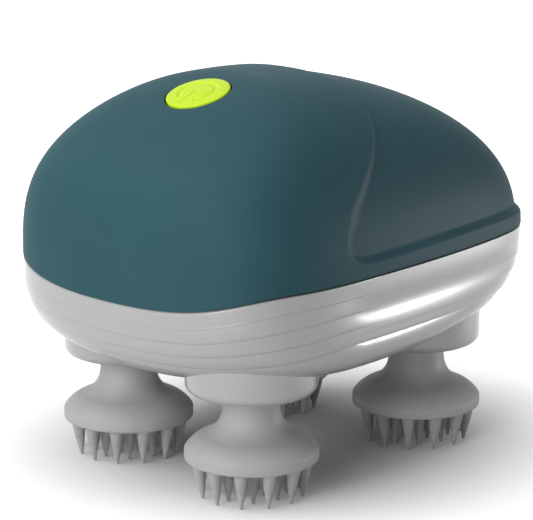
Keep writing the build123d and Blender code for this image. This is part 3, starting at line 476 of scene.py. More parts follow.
# ---- body form
@dataclass(frozen=True)
class EggForm:
    """The egg-shaped body as a family of plan outlines from the belly up to the crown.

    Each outline is four quarter curves of the fourth degree, from a side to an end. A corner holds
    a curve's inner control points, as shares of the half width and of the length to that end. The
    half-sizes shrink from the waist to the crown, and to the belly, by one power law for the
    sides, one for the nose and one for the tail.
    """

    width: float = 96.0
    length: float = 124.0
    crown_z: float = 101.6
    waist_z: float = 56.5
    belly_z: float = 28.5
    crown_y: float = -13.1
    belly_y: float = 4.3
    widest_y: float = -18.9
    nose_corner: Corner = ((1.0, 0.638), (0.925, 0.925), (0.638, 1.0))
    tail_corner: Corner = ((1.0, 0.8), (0.8, 0.957), (0.92, 1.0))
    crown_corner: Corner = ((1.0, 0.491), (0.828, 0.828), (0.491, 1.0))
    belly_corner: Corner = ((1.0, 0.373), (0.749, 0.749), (0.373, 1.0))
    crown_station: float = 86.5
    belly_station: float = 78.0
    dome_side: Place = (2.42, 2.47)
    dome_nose: Place = (3.14, 1.524)
    dome_tail: Place = (2.0, 2.28)
    bowl_side: Place = (9.0, 2.0)
    bowl_nose: Place = (3.0, 7.0)
    bowl_tail: Place = (2.2, 6.2)
    seam_level_to_y: float = -36.2
    seam_fall_run: float = 32.8
    seam_fall: float = 17.0

    def seam(self, y: np.ndarray) -> np.ndarray:
        """Height of the line between the shells at a station along the body."""
        run = np.clip((self.seam_level_to_y - y) / self.seam_fall_run, 0.0, 1.0)
        return self.waist_z - self.seam_fall * run**4

    def seam_points(self, turn: np.ndarray, rise: np.ndarray, inset: np.ndarray) -> np.ndarray:
        """Points at a height above the seam line.

        Args:
            turn: Quarter turns round the body.
            rise: Height above the seam line.
            inset: How far they are set in.

        Returns:
            Rows of x, y, z.
        """
        z = np.full(len(turn), self.waist_z)
        for _ in range(SETTLE):
            z = self.seam(self.points(turn, z, inset)[:, 1]) + rise
        return self.points(turn, z, inset)

    def outline(self, z: np.ndarray, inset: np.ndarray) -> dict[str, np.ndarray]:
        """Half-sizes, ends and fullness of the plan outline at a height.

        Args:
            z: Heights.
            inset: How far the surface is set in from the outer one.

        Returns:
            Arrays for the half width, the widest station, both ends and the blend of the corners.
        """
        above = z >= self.waist_z
        dome = (self.crown_z - inset - self.waist_z) / math.sin(math.radians(self.crown_station))
        bowl = (self.waist_z - self.belly_z - inset) / math.sin(math.radians(self.belly_station))
        share = np.where(above, (z - self.waist_z) / dome, (self.waist_z - z) / bowl)
        share = np.clip(share, 0.0, 0.9999)
        apex = np.where(above, self.crown_y, self.belly_y)

        def left(dome_curve: Place, bowl_curve: Place) -> np.ndarray:
            """What is left of a half-size at each height."""
            power, root = (np.where(above, *pair) for pair in zip(dome_curve, bowl_curve))
            return (1 - share**power) ** (1 / root)

        side = left(self.dome_side, self.bowl_side)
        nose = left(self.dome_nose, self.bowl_nose)
        tail = left(self.dome_tail, self.bowl_tail)
        return {
            "above": above,
            "blend": share**3,
            "half": (self.width / 2 - inset) * side,
            "middle": apex + (self.widest_y - apex) * side,
            "nose": apex + (-self.length / 2 + inset - apex) * nose,
            "tail": apex + (self.length / 2 - inset - apex) * tail,
        }

    def controls(self, line: dict[str, np.ndarray], to_tail: np.ndarray) -> np.ndarray:
        """Control points of the quarter curves, as shares.

        Args:
            line: What outline() gave.
            to_tail: Whether each spot is on a tail quarter.

        Returns:
            An array of spots by five points by across and along.
        """
        near = np.where(to_tail[:, None, None], self.tail_corner, self.nose_corner)
        far = np.where(line["above"][:, None, None], self.crown_corner, self.belly_corner)
        inner = near + (far - near) * line["blend"][:, None, None]
        start = np.broadcast_to([[[1.0, 0.0]]], (len(inner), 1, 2))
        return np.concatenate([start, inner, start[:, :, ::-1]], axis=1)

    @staticmethod
    def along_curve(points: np.ndarray, t: np.ndarray) -> np.ndarray:
        """Places on Bezier curves.

        Args:
            points: Control points, one row of places for each curve.
            t: Share of the way along each curve.

        Returns:
            One row of across and along for each curve.
        """
        degree = points.shape[1] - 1
        weights = [math.comb(degree, k) * (1 - t) ** (degree - k) * t**k for k in range(degree + 1)]
        return np.einsum("ks,skc->sc", np.array(weights), points)

    def points(self, turn: np.ndarray, z: np.ndarray, inset: np.ndarray) -> np.ndarray:
        """Points on the surface.

        Args:
            turn: Quarter turns: 0 on the right side, 1 at the tail, 3 at the nose.
            z: Heights.
            inset: How far the surface is set in.

        Returns:
            One row of x, y, z for each point.
        """
        line = self.outline(z, inset)
        turn = np.mod(turn, 4.0)
        from_side = np.where(turn <= 2, turn, 4 - turn)
        t = np.where(from_side <= 1, from_side, 2 - from_side)
        to_tail = turn <= 2
        end = np.where(to_tail, line["tail"], line["nose"])
        across, along = self.along_curve(self.controls(line, to_tail), t).T
        side = np.where((turn > 1) & (turn < 3), -1.0, 1.0)
        x = side * line["half"] * across
        y = line["middle"] + (end - line["middle"]) * along
        return np.stack([x, y, z], axis=-1)

    def fullness(self, spots: np.ndarray, inset: np.ndarray) -> np.ndarray:
        """How far out spots lie at their own height: 1 on the surface, less inside.

        Args:
            spots: Rows of x, y, z.
            inset: How far the surface is set in.

        Returns:
            One share for each spot.
        """
        line = self.outline(spots[:, 2], inset)
        to_tail = spots[:, 1] >= line["middle"]
        end = np.where(to_tail, line["tail"], line["nose"])
        across = np.abs(spots[:, 0]) / line["half"]
        along = (spots[:, 1] - line["middle"]) / (end - line["middle"])
        bearing = np.arctan2(along, across)
        facing = np.stack([-np.sin(bearing), np.cos(bearing)], axis=-1)
        curve = self.controls(line, to_tail)
        slopes = 4 * np.diff(curve, axis=1)
        t = bearing / (math.pi / 2)
        for _ in range(7):
            miss = (self.along_curve(curve, t) * facing).sum(axis=1)
            climb = (self.along_curve(slopes, t) * facing).sum(axis=1)
            t = np.clip(t - miss / climb, 0.0, 1.0)
        return np.hypot(across, along) / np.hypot(*self.along_curve(curve, t).T)

    def cast(
        self, start: np.ndarray, ways: np.ndarray, inset: np.ndarray | float = 0.0
    ) -> np.ndarray:
        """Follows rays from inside to the surface.

        Args:
            start: The point inside, or one row for each ray.
            ways: Directions, one row each.
            inset: How far the surface is set in.

        Returns:
            The points where the rays leave the body.
        """
        inset = np.broadcast_to(inset, len(ways)).astype(float)
        start = np.broadcast_to(start, ways.shape)
        ways = ways / np.linalg.norm(ways, axis=1)[:, None]
        rise = np.maximum(ways[:, 2], 1e-6)
        near = np.zeros(len(ways))
        far = np.minimum(self.length, (self.crown_z - inset - start[:, 2]) / rise)
        for _ in range(30):
            middle = (near + far) / 2
            inside = self.fullness(start + ways * middle[:, None], inset) < 1
            near = np.where(inside, middle, near)
            far = np.where(inside, far, middle)
        return start + ways * near[:, None]


@dataclass(frozen=True)
class GripEdge:
    """The soft S-shaped step round the grip, drawn in side view and the same on both sides.

    Attributes:
        depth: How far the grip is set in.
        front_step: Width of the step over the top and down the front.
        ledge_step: Width of the step along the ledge.
    """

    depth: float = 1.2
    front_step: float = 2.2
    ledge_step: float = 2.6

    def line(self) -> np.ndarray:
        """The edge from above the crown, down to its toe and back along the ledge."""
        brow = bezier([(5.0, 104.0), (4.0, 94.5), (-10.0, 85.0), (-20.0, 75.6)], 40)
        toe = bezier([(-20.0, 75.6), (-26.2, 69.7), (-29.6, 61.2), (-18.0, 61.0)], 30)
        ledge = bezier([(-18.0, 61.0), (0.0, 60.9), (26.0, 62.6), (70.0, 60.6)], 40)
        return np.array(brow + toe[1:] + ledge[1:])

    def inset(self, spots: np.ndarray) -> np.ndarray:
        """How far the surface is set in at points of the outer form.

        Args:
            spots: Rows of x, y, z on the outer form.

        Returns:
            Depths, from 0 outside the grip to the full depth in it.
        """
        line = self.line()
        starts, runs = line[:-1], np.diff(line, axis=0)
        flat = spots[:, None, 1:]
        along = ((flat - starts) * runs).sum(axis=2) / (runs**2).sum(axis=1)
        feet = starts + np.clip(along, 0, 1)[..., None] * runs
        reach = np.hypot(*np.moveaxis(flat - feet, 2, 0))
        nearest = reach.argmin(axis=1)
        rows = np.arange(len(spots))
        run = runs[nearest]
        offset = spots[:, 1:] - starts[nearest]
        side = np.sign(run[:, 0] * offset[:, 1] - run[:, 1] * offset[:, 0])
        distance = side * reach[rows, nearest]
        back = smooth_step((line[nearest, 0] + 30) / 20 * (spots[:, 2] < 70))
        width = self.front_step + (self.ledge_step - self.front_step) * back
        return self.depth * smooth_step(distance / width + 0.5)


@dataclass(frozen=True)
class ButtonSeat:
    """Place of the push button on the dome's front slope."""

    form: EggForm
    y: float = -29.8
    tilt_deg: float = 16.5
    radius: float = 8.3
    gap: float = 0.35

    @property
    def axis(self) -> np.ndarray:
        """Direction in which the button faces."""
        tilt = math.radians(self.tilt_deg)
        return np.array([0.0, -math.sin(tilt), math.cos(tilt)])

    @property
    def uphill(self) -> np.ndarray:
        """Direction in the button's face that points up the dome."""
        tilt = math.radians(self.tilt_deg)
        return np.array([0.0, math.cos(tilt), math.sin(tilt)])

    @property
    def centre(self) -> np.ndarray:
        """Point of the dome's surface in the middle of the button."""
        below = np.array([[0.0, self.y, self.form.waist_z]])
        return self.form.cast(below, np.array([[0.0, 0.0, 1.0]]))[0]

    def matrix(self) -> Matrix:
        """Turns a shape that stands on the origin into the button's place."""
        columns = (np.array([1.0, 0.0, 0.0]), self.uphill, self.axis, self.centre)
        return Matrix([[*(c[row] for c in columns)] for row in range(3)] + [[0, 0, 0, 1]])


# ---- shells
@dataclass
class Dome:
    """The soft-touch upper shell, with its grip step, button well and rounded lower lip."""

    form: EggForm
    grip: GripEdge
    seat: ButtonSeat
    columns: int = 216
    rings: int = 92
    lip_radius: float = 0.3
    rim_radius: float = 0.3
    seam_opening: float = 0.2
    well_depth: float = 3.0
    sleeve: float = 1.5
    wall: float = 1.8
    inner_rows: int = 30
    heart: Place3 = (0.0, -12.0, 57.5)
    under_reach: float = 12.0
    crown_blend: float = 8.0
    crown_rounds: int = 8
    rim_guard: float = 2.5

    def levels(self) -> list[float]:
        """Rows of the mesh, as one closed skin.

        Returns:
            Levels: -2 to 0 up the well and over its rim, to 1 over the dome, to 2 round the lip,
            to 3 inwards under the wall, to 4 up the inside, to 5 down the sleeve and to the well.
        """
        well = [-2.0, -1.0, -0.75, -0.5, -0.25]
        over = [k / self.rings for k in range(self.rings + 1)]
        inside = [3 + k / self.inner_rows for k in range(self.inner_rows + 1)]
        return well + over + [1.25, 1.5, 1.75, 2.0] + inside + [4.5, 5.0]

    def above_ring(
        self, ring: np.ndarray | float, outward: np.ndarray, skin: np.ndarray | float = 0.0
    ) -> np.ndarray:
        """Points of the form straight over a ring round the button's axis.

        Args:
            ring: Radius, one for all or one for each point.
            outward: Directions from the axis, one row each.
            skin: How far the points are set in.

        Returns:
            Rows of x, y, z.
        """
        start = self.seat.centre + ring * outward - self.under_reach * self.seat.axis
        return self.form.cast(start, np.repeat(self.seat.axis[None], len(outward), axis=0), skin)

    def surface(self, round_share: np.ndarray, level: np.ndarray) -> np.ndarray:
        """The mesh's points for their place in the grid.

        Args:
            round_share: Share of the way round, from the nose over the right side.
            level: Row, as levels() counts them.

        Returns:
            Rows of x, y, z.
        """
        seat, heart = self.seat, np.array(self.heart)
        angle = math.tau * round_share
        right = np.array([1.0, 0.0, 0.0])
        outward = np.sin(angle)[:, None] * right - np.cos(angle)[:, None] * seat.uphill
        inside = level > 2
        skin = np.where(inside, self.wall, 0.0)
        well_radius = seat.radius + seat.gap
        ring = well_radius + np.where(inside, self.sleeve, self.rim_radius)
        rim = self.above_ring(ring[:, None], outward, skin)
        lip = np.clip(level - 1, 0, 1) * math.pi / 2
        ledge = np.clip(level - 2, 0, 1) * (self.wall - self.lip_radius)
        edge = self.form.seam_points(
            3 + 4 * round_share,
            self.seam_opening + self.lip_radius * (1 - np.sin(lip)),
            self.lip_radius * (1 - np.cos(lip)) + ledge,
        )
        share = np.where(inside, 4 - level, level).clip(0, 1)[:, None]
        ways = (1 - share) * (rim - heart) + share * (edge - heart)
        outer = self.form.cast(heart, ways)
        over = self.form.cast(heart, ways, self.grip.inset(outer) + skin)
        roll = np.clip(-level, 0, 1) * math.pi / 2
        sink = np.clip(-level - 1, 0, 1) * (self.well_depth - self.rim_radius)
        inward = self.rim_radius * np.sin(roll)
        down = self.rim_radius * (1 - np.cos(roll)) + sink
        well = rim - inward[:, None] * outward - down[:, None] * seat.axis
        plain = self.above_ring(well_radius + self.rim_radius, outward)
        foot = plain - self.rim_radius * outward - self.well_depth * seat.axis
        foot = foot + (self.sleeve * np.clip(5 - level, 0, 0.5) * 2)[:, None] * outward
        rows = [level > 4, (level > 1) & (level <= 3), level <= 0]
        return np.select([row[:, None] for row in rows], [foot, edge, well], over)

    def build(self) -> bpy.types.Object:
        """Makes the dome.

        Returns:
            The piece that stands for the upper shell.
        """
        levels = np.array(self.levels())
        shape, round_share, row = sheet(self.columns, len(levels) - 1)
        move_to(shape, np.stack([round_share, levels[row], np.zeros(len(row))], axis=-1))
        self.refine(shape)
        grid = np.array([vert.co[:2] for vert in shape.verts])
        move_to(shape, self.surface(grid[:, 0], grid[:, 1]))
        bmesh.ops.remove_doubles(shape, verts=shape.verts[:], dist=MERGE)
        crown = Vector((0.0, self.form.crown_y, self.form.crown_z))
        near = [v for v in shape.verts if (v.co - crown).length < self.crown_blend]
        button, clear = Vector(self.seat.centre), self.seat.radius + self.rim_guard
        near = [v for v in near if (v.co - button).length > clear]
        for _ in range(self.crown_rounds):
            bmesh.ops.smooth_vert(shape, verts=near, factor=0.5, use_axis_x=True, use_axis_y=True,
                                  use_axis_z=True)
        bmesh.ops.recalc_face_normals(shape, faces=shape.faces[:])
        return Piece("dome", "body", SOFT_TOUCH, ("upper_shell",), crease_deg=65).make(shape)

    def refine(self, shape: bmesh.types.BMesh) -> None:
        """Divides the faces along the grip's step, while the grid is still flat.

        Args:
            shape: The flat grid.
        """
        grid = np.array([vert.co[:2] for vert in shape.verts])
        heart = np.array(self.heart)
        spots = self.surface(grid[:, 0], grid[:, 1])
        depth = self.grip.inset(self.form.cast(heart, spots - heart))
        on_step = (depth > MM) & (depth < self.grip.depth - MM)
        on_step &= (grid[:, 1] > 0) & (grid[:, 1] < 1)
        corners = [vert for vert, near in zip(shape.verts, on_step) if near]
        faces = {face for vert in corners for face in vert.link_faces}
        edges = {edge for face in faces for edge in face.edges}
        bmesh.ops.subdivide_edges(shape, edges=list(edges), cuts=2, use_grid_fill=True)


@dataclass
class Bowl:
    """The satin lower shell: lapped bands that follow the seam, and the flat belly."""

    form: EggForm
    columns: int = 288
    band_pitch: float = 4.0
    band_step: float = 0.3
    laps: int = 4
    first_inset: float = 0.1
    seam_opening: float = 0.15
    edge_radius: float = 0.22
    wall: float = 1.6
    land: float = 0.16
    lap_edge: tuple[Place, ...] = ((-0.16, 0.05), (-0.07, 0.14), (-0.02, 0.24))
    lap_foot: float = 0.02
    flank: Place = (-31.0, 52.0)
    flank_run: float = 14.0
    lap_fade: float = 1.5
    scoop_drop: float = 7.9
    scoop_width: float = 3.2
    scoop_depth: float = 0.42
    hollow_depth: float = 0.8
    hollow_height: float = 5.5
    hollow_end: float = 34.0
    hollow_run: float = 16.0
    nose_spread: float = 0.13
    nose_end: float = -22.0
    nose_run: float = 30.0

    def relief(
        self, y: np.ndarray, z: np.ndarray, drop: np.ndarray, inset: np.ndarray
    ) -> np.ndarray:
        """Forms the flanks: the upper laps run out into a scoop, the last stands over a hollow.

        Args:
            y: Stations along the body.
            z: Heights.
            drop: Distances below the seam.
            inset: The laps' own insets.

        Returns:
            Insets with the flanks' form.
        """
        front, back = (y - self.flank[0]) / self.flank_run, (self.flank[1] - y) / self.flank_run
        flank = smooth_step(front) * smooth_step(back)
        flank = flank * (inset < self.wall / 2)
        last = self.laps * self.band_pitch
        upper = smooth_step((last - self.lap_fade - drop) / self.lap_fade)
        scoop = np.exp(-(((drop - self.scoop_drop) / self.scoop_width) ** 2)) * self.scoop_depth
        below = np.clip(1 - (self.form.seam(y) - z - last) / self.hollow_height, 0, 1) ** 2
        hollow = self.hollow_depth * below * (drop > last)
        hollow_flank = flank * smooth_step((self.hollow_end - y) / self.hollow_run) * (drop > last)
        inset = inset * (1 - flank * upper) + scoop * flank * upper
        return inset * (1 - hollow_flank) + hollow * hollow_flank

    def rows(self) -> list[tuple[float, float, float]]:
        """Rows of the mesh as drop below the seam, inset, and share of the way on to the belly."""
        last = self.laps * self.band_pitch + self.land
        made = [(last, self.wall, math.sin(math.radians(7.5 * k))) for k in range(12, -1, -1)]
        made += [(drop, self.wall, 0.0) for drop in (12.0, 8.0, 4.0, self.seam_opening)]
        for k in range(4):
            roll = math.radians(90 - 30 * k)
            drop = self.seam_opening + self.edge_radius * (1 - math.cos(math.radians(30 * k)))
            made.append((drop, self.first_inset + self.edge_radius * (1 - math.cos(roll)), 0.0))
        for lap in range(self.laps):
            top, bottom = lap * self.band_pitch, (lap + 1) * self.band_pitch
            start = top + (0.9 if lap == 0 else self.land)
            reach = bottom - 0.3 - start
            for k in range(8):
                hollow = 0.0 if lap == 0 else self.band_step * (1 - k / 7) ** 2
                made.append((start + reach * k / 7, self.first_inset * (lap == 0) + hollow, 0.0))
            made += [(bottom + step, inset, 0.0) for step, inset in self.lap_edge]
            made.append((bottom + self.lap_foot, self.band_step, 0.0))
        for k in range(31):
            share = math.sin(math.radians(3 * k))
            made.append((last, self.band_step * (1 - min(1.0, share / 0.35)) ** 2, share))
        return made

    def build(self) -> bpy.types.Object:
        """Makes the bowl.

        Returns:
            The piece that stands for the lower shell.
        """
        rows = np.array(self.rows())
        shape, round_share, row = sheet(self.columns, len(rows) - 1)
        turn, (drop, own, on) = 4 * round_share, rows[row].T
        z, inset = np.full(len(turn), self.form.waist_z), own
        for _ in range(SETTLE):
            y = self.form.points(turn, z, inset)[:, 1]
            nose = smooth_step((self.nose_end - y) / self.nose_run)
            level = self.form.seam(y) - drop * (1 + self.nose_spread * nose)
            z = level + on * (self.form.belly_z + own - level)
            inset = self.relief(y, z, drop, own)
        move_to(shape, self.form.points(turn, z, inset))
        bmesh.ops.remove_doubles(shape, verts=shape.verts[:], dist=MERGE)
        lowest = min(v.co.z for v in shape.verts)
        ends = [e for e in shape.edges if e.is_boundary]
        rim = [e for e in ends if max(v.co.z for v in e.verts) < lowest + 0.01]
        for _ in range(6):
            grown = bmesh.ops.extrude_edge_only(shape, edges=rim)["geom"]
            corners = [g for g in grown if isinstance(g, bmesh.types.BMVert)]
            rim = [g for g in grown if isinstance(g, bmesh.types.BMEdge)]
            middle = Vector((0, self.form.belly_y, lowest))
            bmesh.ops.scale(shape, verts=corners, vec=(0.7, 0.7, 1.0),
                            space=Matrix.Translation(-middle))
        bmesh.ops.holes_fill(shape, edges=rim, sides=0)
        bmesh.ops.holes_fill(shape, edges=[e for e in ends if e.is_boundary], sides=0)
        bmesh.ops.recalc_face_normals(shape, faces=shape.faces[:])
        return Piece("bowl", "body", SATIN_SILVER, ("lower_shell",), crease_deg=60).make(shape)


@dataclass
class SeamShadeSeal:
    """A black seal set back in the seam between the shells. Its black is painted shade: it stands
    in for the shadow in the gap and shows as a thin dark line.
    """

    form: EggForm
    columns: int = 216
    set_back: float = 0.75
    width: float = 1.2
    height: float = 0.9

    def build(self) -> bpy.types.Object:
        """Makes the seal as a closed band that follows the seam.

        Returns:
            The piece that stands for the seam gasket.
        """
        section = np.array([(0, 1), (0, -1), (1, -1), (1, 1), (0, 1)], dtype=float)
        shape, round_share, row = sheet(self.columns, len(section) - 1)
        across, up = section[row].T
        inset = self.set_back + self.width * across
        move_to(shape, self.form.seam_points(4 * round_share, up * self.height / 2, inset))
        bmesh.ops.remove_doubles(shape, verts=shape.verts[:], dist=MERGE)
        bmesh.ops.recalc_face_normals(shape, faces=shape.faces[:])
        # Painted shade: the black rubber finish darkens the seam gap the way its shadow would.
        return Piece("seam_shade_seal", "body", BLACK_RUBBER, ("seam_gasket",)).make(shape)


@dataclass
class Collar:
    """One of the four round collars under the bowl, with the recess round the head's neck."""

    spot: Spot
    centre: Place
    radius: float = 16.7
    bottom_z: float = 27.1
    top_z: float = 37.0
    edge: float = 2.4
    recess_radius: float = 8.0
    recess_depth: float = 1.5
    recess_edge: float = 0.35
    shaft_hole: float = 5.0
    steps: int = 96

    def build(self) -> bpy.types.Object:
        """Makes the collar.

        Returns:
            The piece.
        """
        recess_z = self.bottom_z + self.recess_depth
        hole_edge = (self.recess_radius + self.recess_edge, self.bottom_z + self.recess_edge)
        corner = (self.radius - self.edge, self.bottom_z + self.edge)
        profile = [(0.0, self.top_z), (0.0, recess_z)]
        profile += [(self.shaft_hole, recess_z), (self.recess_radius, recess_z)]
        profile += arc(hole_edge, self.recess_edge, 180, 270, 5)
        profile += arc(corner, self.edge, 270, 360, 12)
        profile += [(self.radius, self.top_z - 4.0), (self.radius, self.top_z), (0.0, self.top_z)]
        shape = lathe(profile, self.steps)
        bmesh.ops.translate(shape, verts=shape.verts[:], vec=(*self.centre, 0.0))
        return Piece(f"collar_{self.spot.value}", "body", SATIN_SILVER, crease_deg=45).make(shape)


# ---- button
@dataclass
class PowerButton:
    """The lime push button, with the usual power sign pressed into its lens face."""

    seat: ButtonSeat
    crown: float = 0.5
    edge: float = 0.45
    depth: float = 5.1
    flange_radius: float = 10.4
    flange_height: float = 1.2
    sign_radius: float = 4.7
    sign_stroke: float = 1.15
    sign_depth: float = 0.28
    sign_soft: float = 0.3
    sign_gap_deg: float = 66.0
    bar_from: float = -5.9
    bar_to: float = -0.4
    columns: int = 192
    rings: int = 66

    def sign(self, x: float, y: float) -> float:
        """Depth of the pressed sign at a point of the face.

        Args:
            x: Across the face.
            y: Up the slope.

        Returns:
            Depth, 0 where the face is plain.
        """
        angle = abs(math.degrees(math.atan2(x, -y)))
        open_half = self.sign_gap_deg / 2
        if angle > open_half:
            ring = abs(math.hypot(x, y) - self.sign_radius)
        else:
            end, radius = math.radians(open_half), self.sign_radius
            ring = math.hypot(abs(x) - radius * math.sin(end), y + radius * math.cos(end))
        bar = math.hypot(x, max(0.0, self.bar_from - y, y - self.bar_to))
        nearest = min(ring, bar) - self.sign_stroke / 2
        return self.sign_depth * float(smooth_step(np.array(0.5 - nearest / self.sign_soft)))

    def build(self) -> bpy.types.Object:
        """Makes the button in its seat.

        Returns:
            The piece that stands for the power button.
        """
        ball = (self.seat.radius**2 + self.crown**2) / (2 * self.crown)
        shoulder = self.seat.radius - self.edge
        radii = [shoulder * k / self.rings for k in range(self.rings + 1)]
        face = [(r, self.crown - ball + math.sqrt(ball * ball - r * r)) for r in radii]
        top, foot = face[-1][1], -self.depth - self.flange_height
        profile = face + arc((shoulder, top - self.edge), self.edge, 90, 0, 6)[1:]
        profile += [(self.seat.radius, -self.depth), (self.flange_radius, -self.depth)]
        profile += [(self.flange_radius, foot), (0.0, foot)]
        shape = lathe(profile, self.columns)
        for vert in shape.verts:
            if vert.co.z > top - 0.01:
                vert.co.z -= self.sign(vert.co.x, vert.co.y)
        bmesh.ops.transform(shape, matrix=self.seat.matrix(), verts=shape.verts[:])
        return Piece("power_button_cap", "button", LIME, ("power_button",)).make(shape)


# ---- heads
@dataclass
class Tine:
    """One soft tine: a flared root, a taper with a fine moulding ring, and a rounded tip."""

    root_z: float = 9.6
    ring_z: float = 4.6
    root_radius: float = 1.88
    ring_radius: float = 1.22
    tip_radius: float = 0.42
    flare: float = 0.5
    steps: int = 18

    def shape(self) -> bmesh.types.BMesh:
        """Makes the tine upright on the axis, with its tip at Z = 0."""
        taper = (self.root_radius - self.ring_radius) / (self.root_z - self.ring_z)
        neck = self.root_radius - taper * 0.9
        profile = [(0.0, self.root_z + 0.3), (self.root_radius + self.flare, self.root_z + 0.3)]
        profile += bezier([(self.root_radius + self.flare, self.root_z),
                           (self.root_radius + 0.1, self.root_z - 0.1),
                           (neck + 0.1, self.root_z - 0.5), (neck, self.root_z - 0.9)], 4)
        ring = ((0.03, 0.12), (-0.07, 0.0), (-0.09, -0.14))
        profile += [(self.ring_radius + out, self.ring_z + up) for out, up in ring]
        profile += bezier([(self.ring_radius - 0.1, self.ring_z - 0.3),
                           (self.ring_radius - 0.3, self.ring_z - 1.9),
                           (self.tip_radius + 0.12, 1.5), (self.tip_radius, self.tip_radius)], 6)
        profile += arc((0.0, self.tip_radius), self.tip_radius, 0, -90, 4)[1:]
        return lathe(profile, self.steps)


@dataclass
class ClawHead:
    """A grey silicone head: trumpet neck, disc with a rim band, and three rings of tines."""

    spot: Spot
    centre: Place
    neck_radius: float = 7.3
    neck_top: float = 28.1
    disc_radius: float = 17.0
    disc_top: float = 12.5
    disc_bottom: float = 9.45
    steps: int = 128
    rings: tuple[tuple[int, float, float, float], ...] = (
        (12, 13.8, 1.0, 0.9),
        (8, 8.7, 0.0, 0.0),
        (4, 3.7, 8.0, 0.0),
    )

    def profile(self) -> list[Place]:
        """Outline of the neck and the disc, from the axis at the top to the axis at the bottom."""
        top, rim = self.disc_top, self.disc_radius
        made = [(0.0, self.neck_top), (self.neck_radius - 0.2, self.neck_top)]
        made += [(self.neck_radius, self.neck_top - 0.2)]
        made += bezier([(self.neck_radius, top + 11.2), (self.neck_radius, top + 6.3),
                        (self.neck_radius + 2.6, top + 4.3), (rim - 4.2, top + 3.3)], 18)
        made += bezier([(rim - 4.2, top + 3.3), (rim - 2.6, top + 2.6),
                        (rim - 1.1, top + 1.4), (rim - 0.35, top + 0.22)], 12)[1:]
        made += bezier([(rim - 0.35, top + 0.22), (rim - 0.12, top - 0.12),
                        (rim, top - 0.2), (rim, top - 0.5)], 5)[1:]
        made += [(rim, self.disc_bottom + 1.1)]
        made += bezier([(rim, self.disc_bottom + 0.8), (rim, self.disc_bottom + 0.3),
                        (rim - 0.3, self.disc_bottom), (rim - 0.8, self.disc_bottom)], 6)
        made += [(rim - 2.0, self.disc_bottom), (0.0, self.disc_bottom)]
        return made

    def build(self) -> bpy.types.Object:
        """Makes the head.

        Returns:
            The piece that stands for the claw head.
        """
        shape = lathe(self.profile(), self.steps)
        tine = Tine().shape()
        for count, radius, phase, lean in self.rings:
            tilt = Matrix.Rotation(math.atan2(lean, self.disc_bottom), 4, "Y")
            for k in range(count):
                spin = Matrix.Rotation(math.radians(phase + 360 * k / count), 4, "Z")
                add_copy(shape, tine, spin @ Matrix.Translation((radius - lean, 0, 0)) @ tilt)
        tine.free()
        lowest = min(vert.co.z for vert in shape.verts)
        bmesh.ops.translate(shape, verts=shape.verts[:], vec=(*self.centre, -min(0.0, lowest)))
        name = self.spot.value
        return Piece(f"claws_{name}", f"head_{name}", SILICONE, (f"claw_head_{name}",)).make(shape)


# ---- assembly
@dataclass
class Massager:
    """The whole object: outer pieces as fine meshes, inner nodes with their own finishes."""

    form: EggForm = field(default_factory=EggForm)

    def heads(self) -> dict[Spot, Place]:
        """Axes of the four heads, as the CAD nodes stand."""
        made = {}
        for spot in Spot:
            low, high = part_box(f"claw_head_{spot.value}")
            made[spot] = ((low[0] + high[0]) / 2 / MM, (low[1] + high[1]) / 2 / MM)
        return made

    def dress_nodes(self) -> None:
        """Gives every CAD node the finish of its material slot."""
        slots = {part["node"]: part["material_slot"] for part in frame["record"]["subparts"]}
        for node, slot in slots.items():
            mesh = bpy.data.objects[node].data
            mesh.materials.clear()
            mesh.materials.append(SLOT_FINISHES[slot].material())
            log.info("%s: finish %s", node, SLOT_FINISHES[slot].name)

    def build(self) -> None:
        """Makes every piece in order."""
        self.dress_nodes()
        seat = ButtonSeat(self.form)
        Dome(self.form, GripEdge(), seat).build()
        Bowl(self.form).build()
        SeamShadeSeal(self.form).build()
        PowerButton(seat).build()
        for spot, centre in self.heads().items():
            Collar(spot, centre).build()
            ClawHead(spot, centre).build()


# ---- studio
@dataclass(frozen=True)
class Softbox:
    """A soft lamp, placed from the middle of the object as the camera sees it.

    Attributes:
        name: Name of the lamp.
        place: Distances to the right, up and towards the camera, in metres.
        target: Point at which the lamp aims, in the same way.
        size: Width and height of the lamp.
        power: Its power in watts.
        shine_only: Whether it shows in reflections only.
    """

    name: str
    place: Place3
    target: Place3
    size: Place
    power: float
    shine_only: bool = False


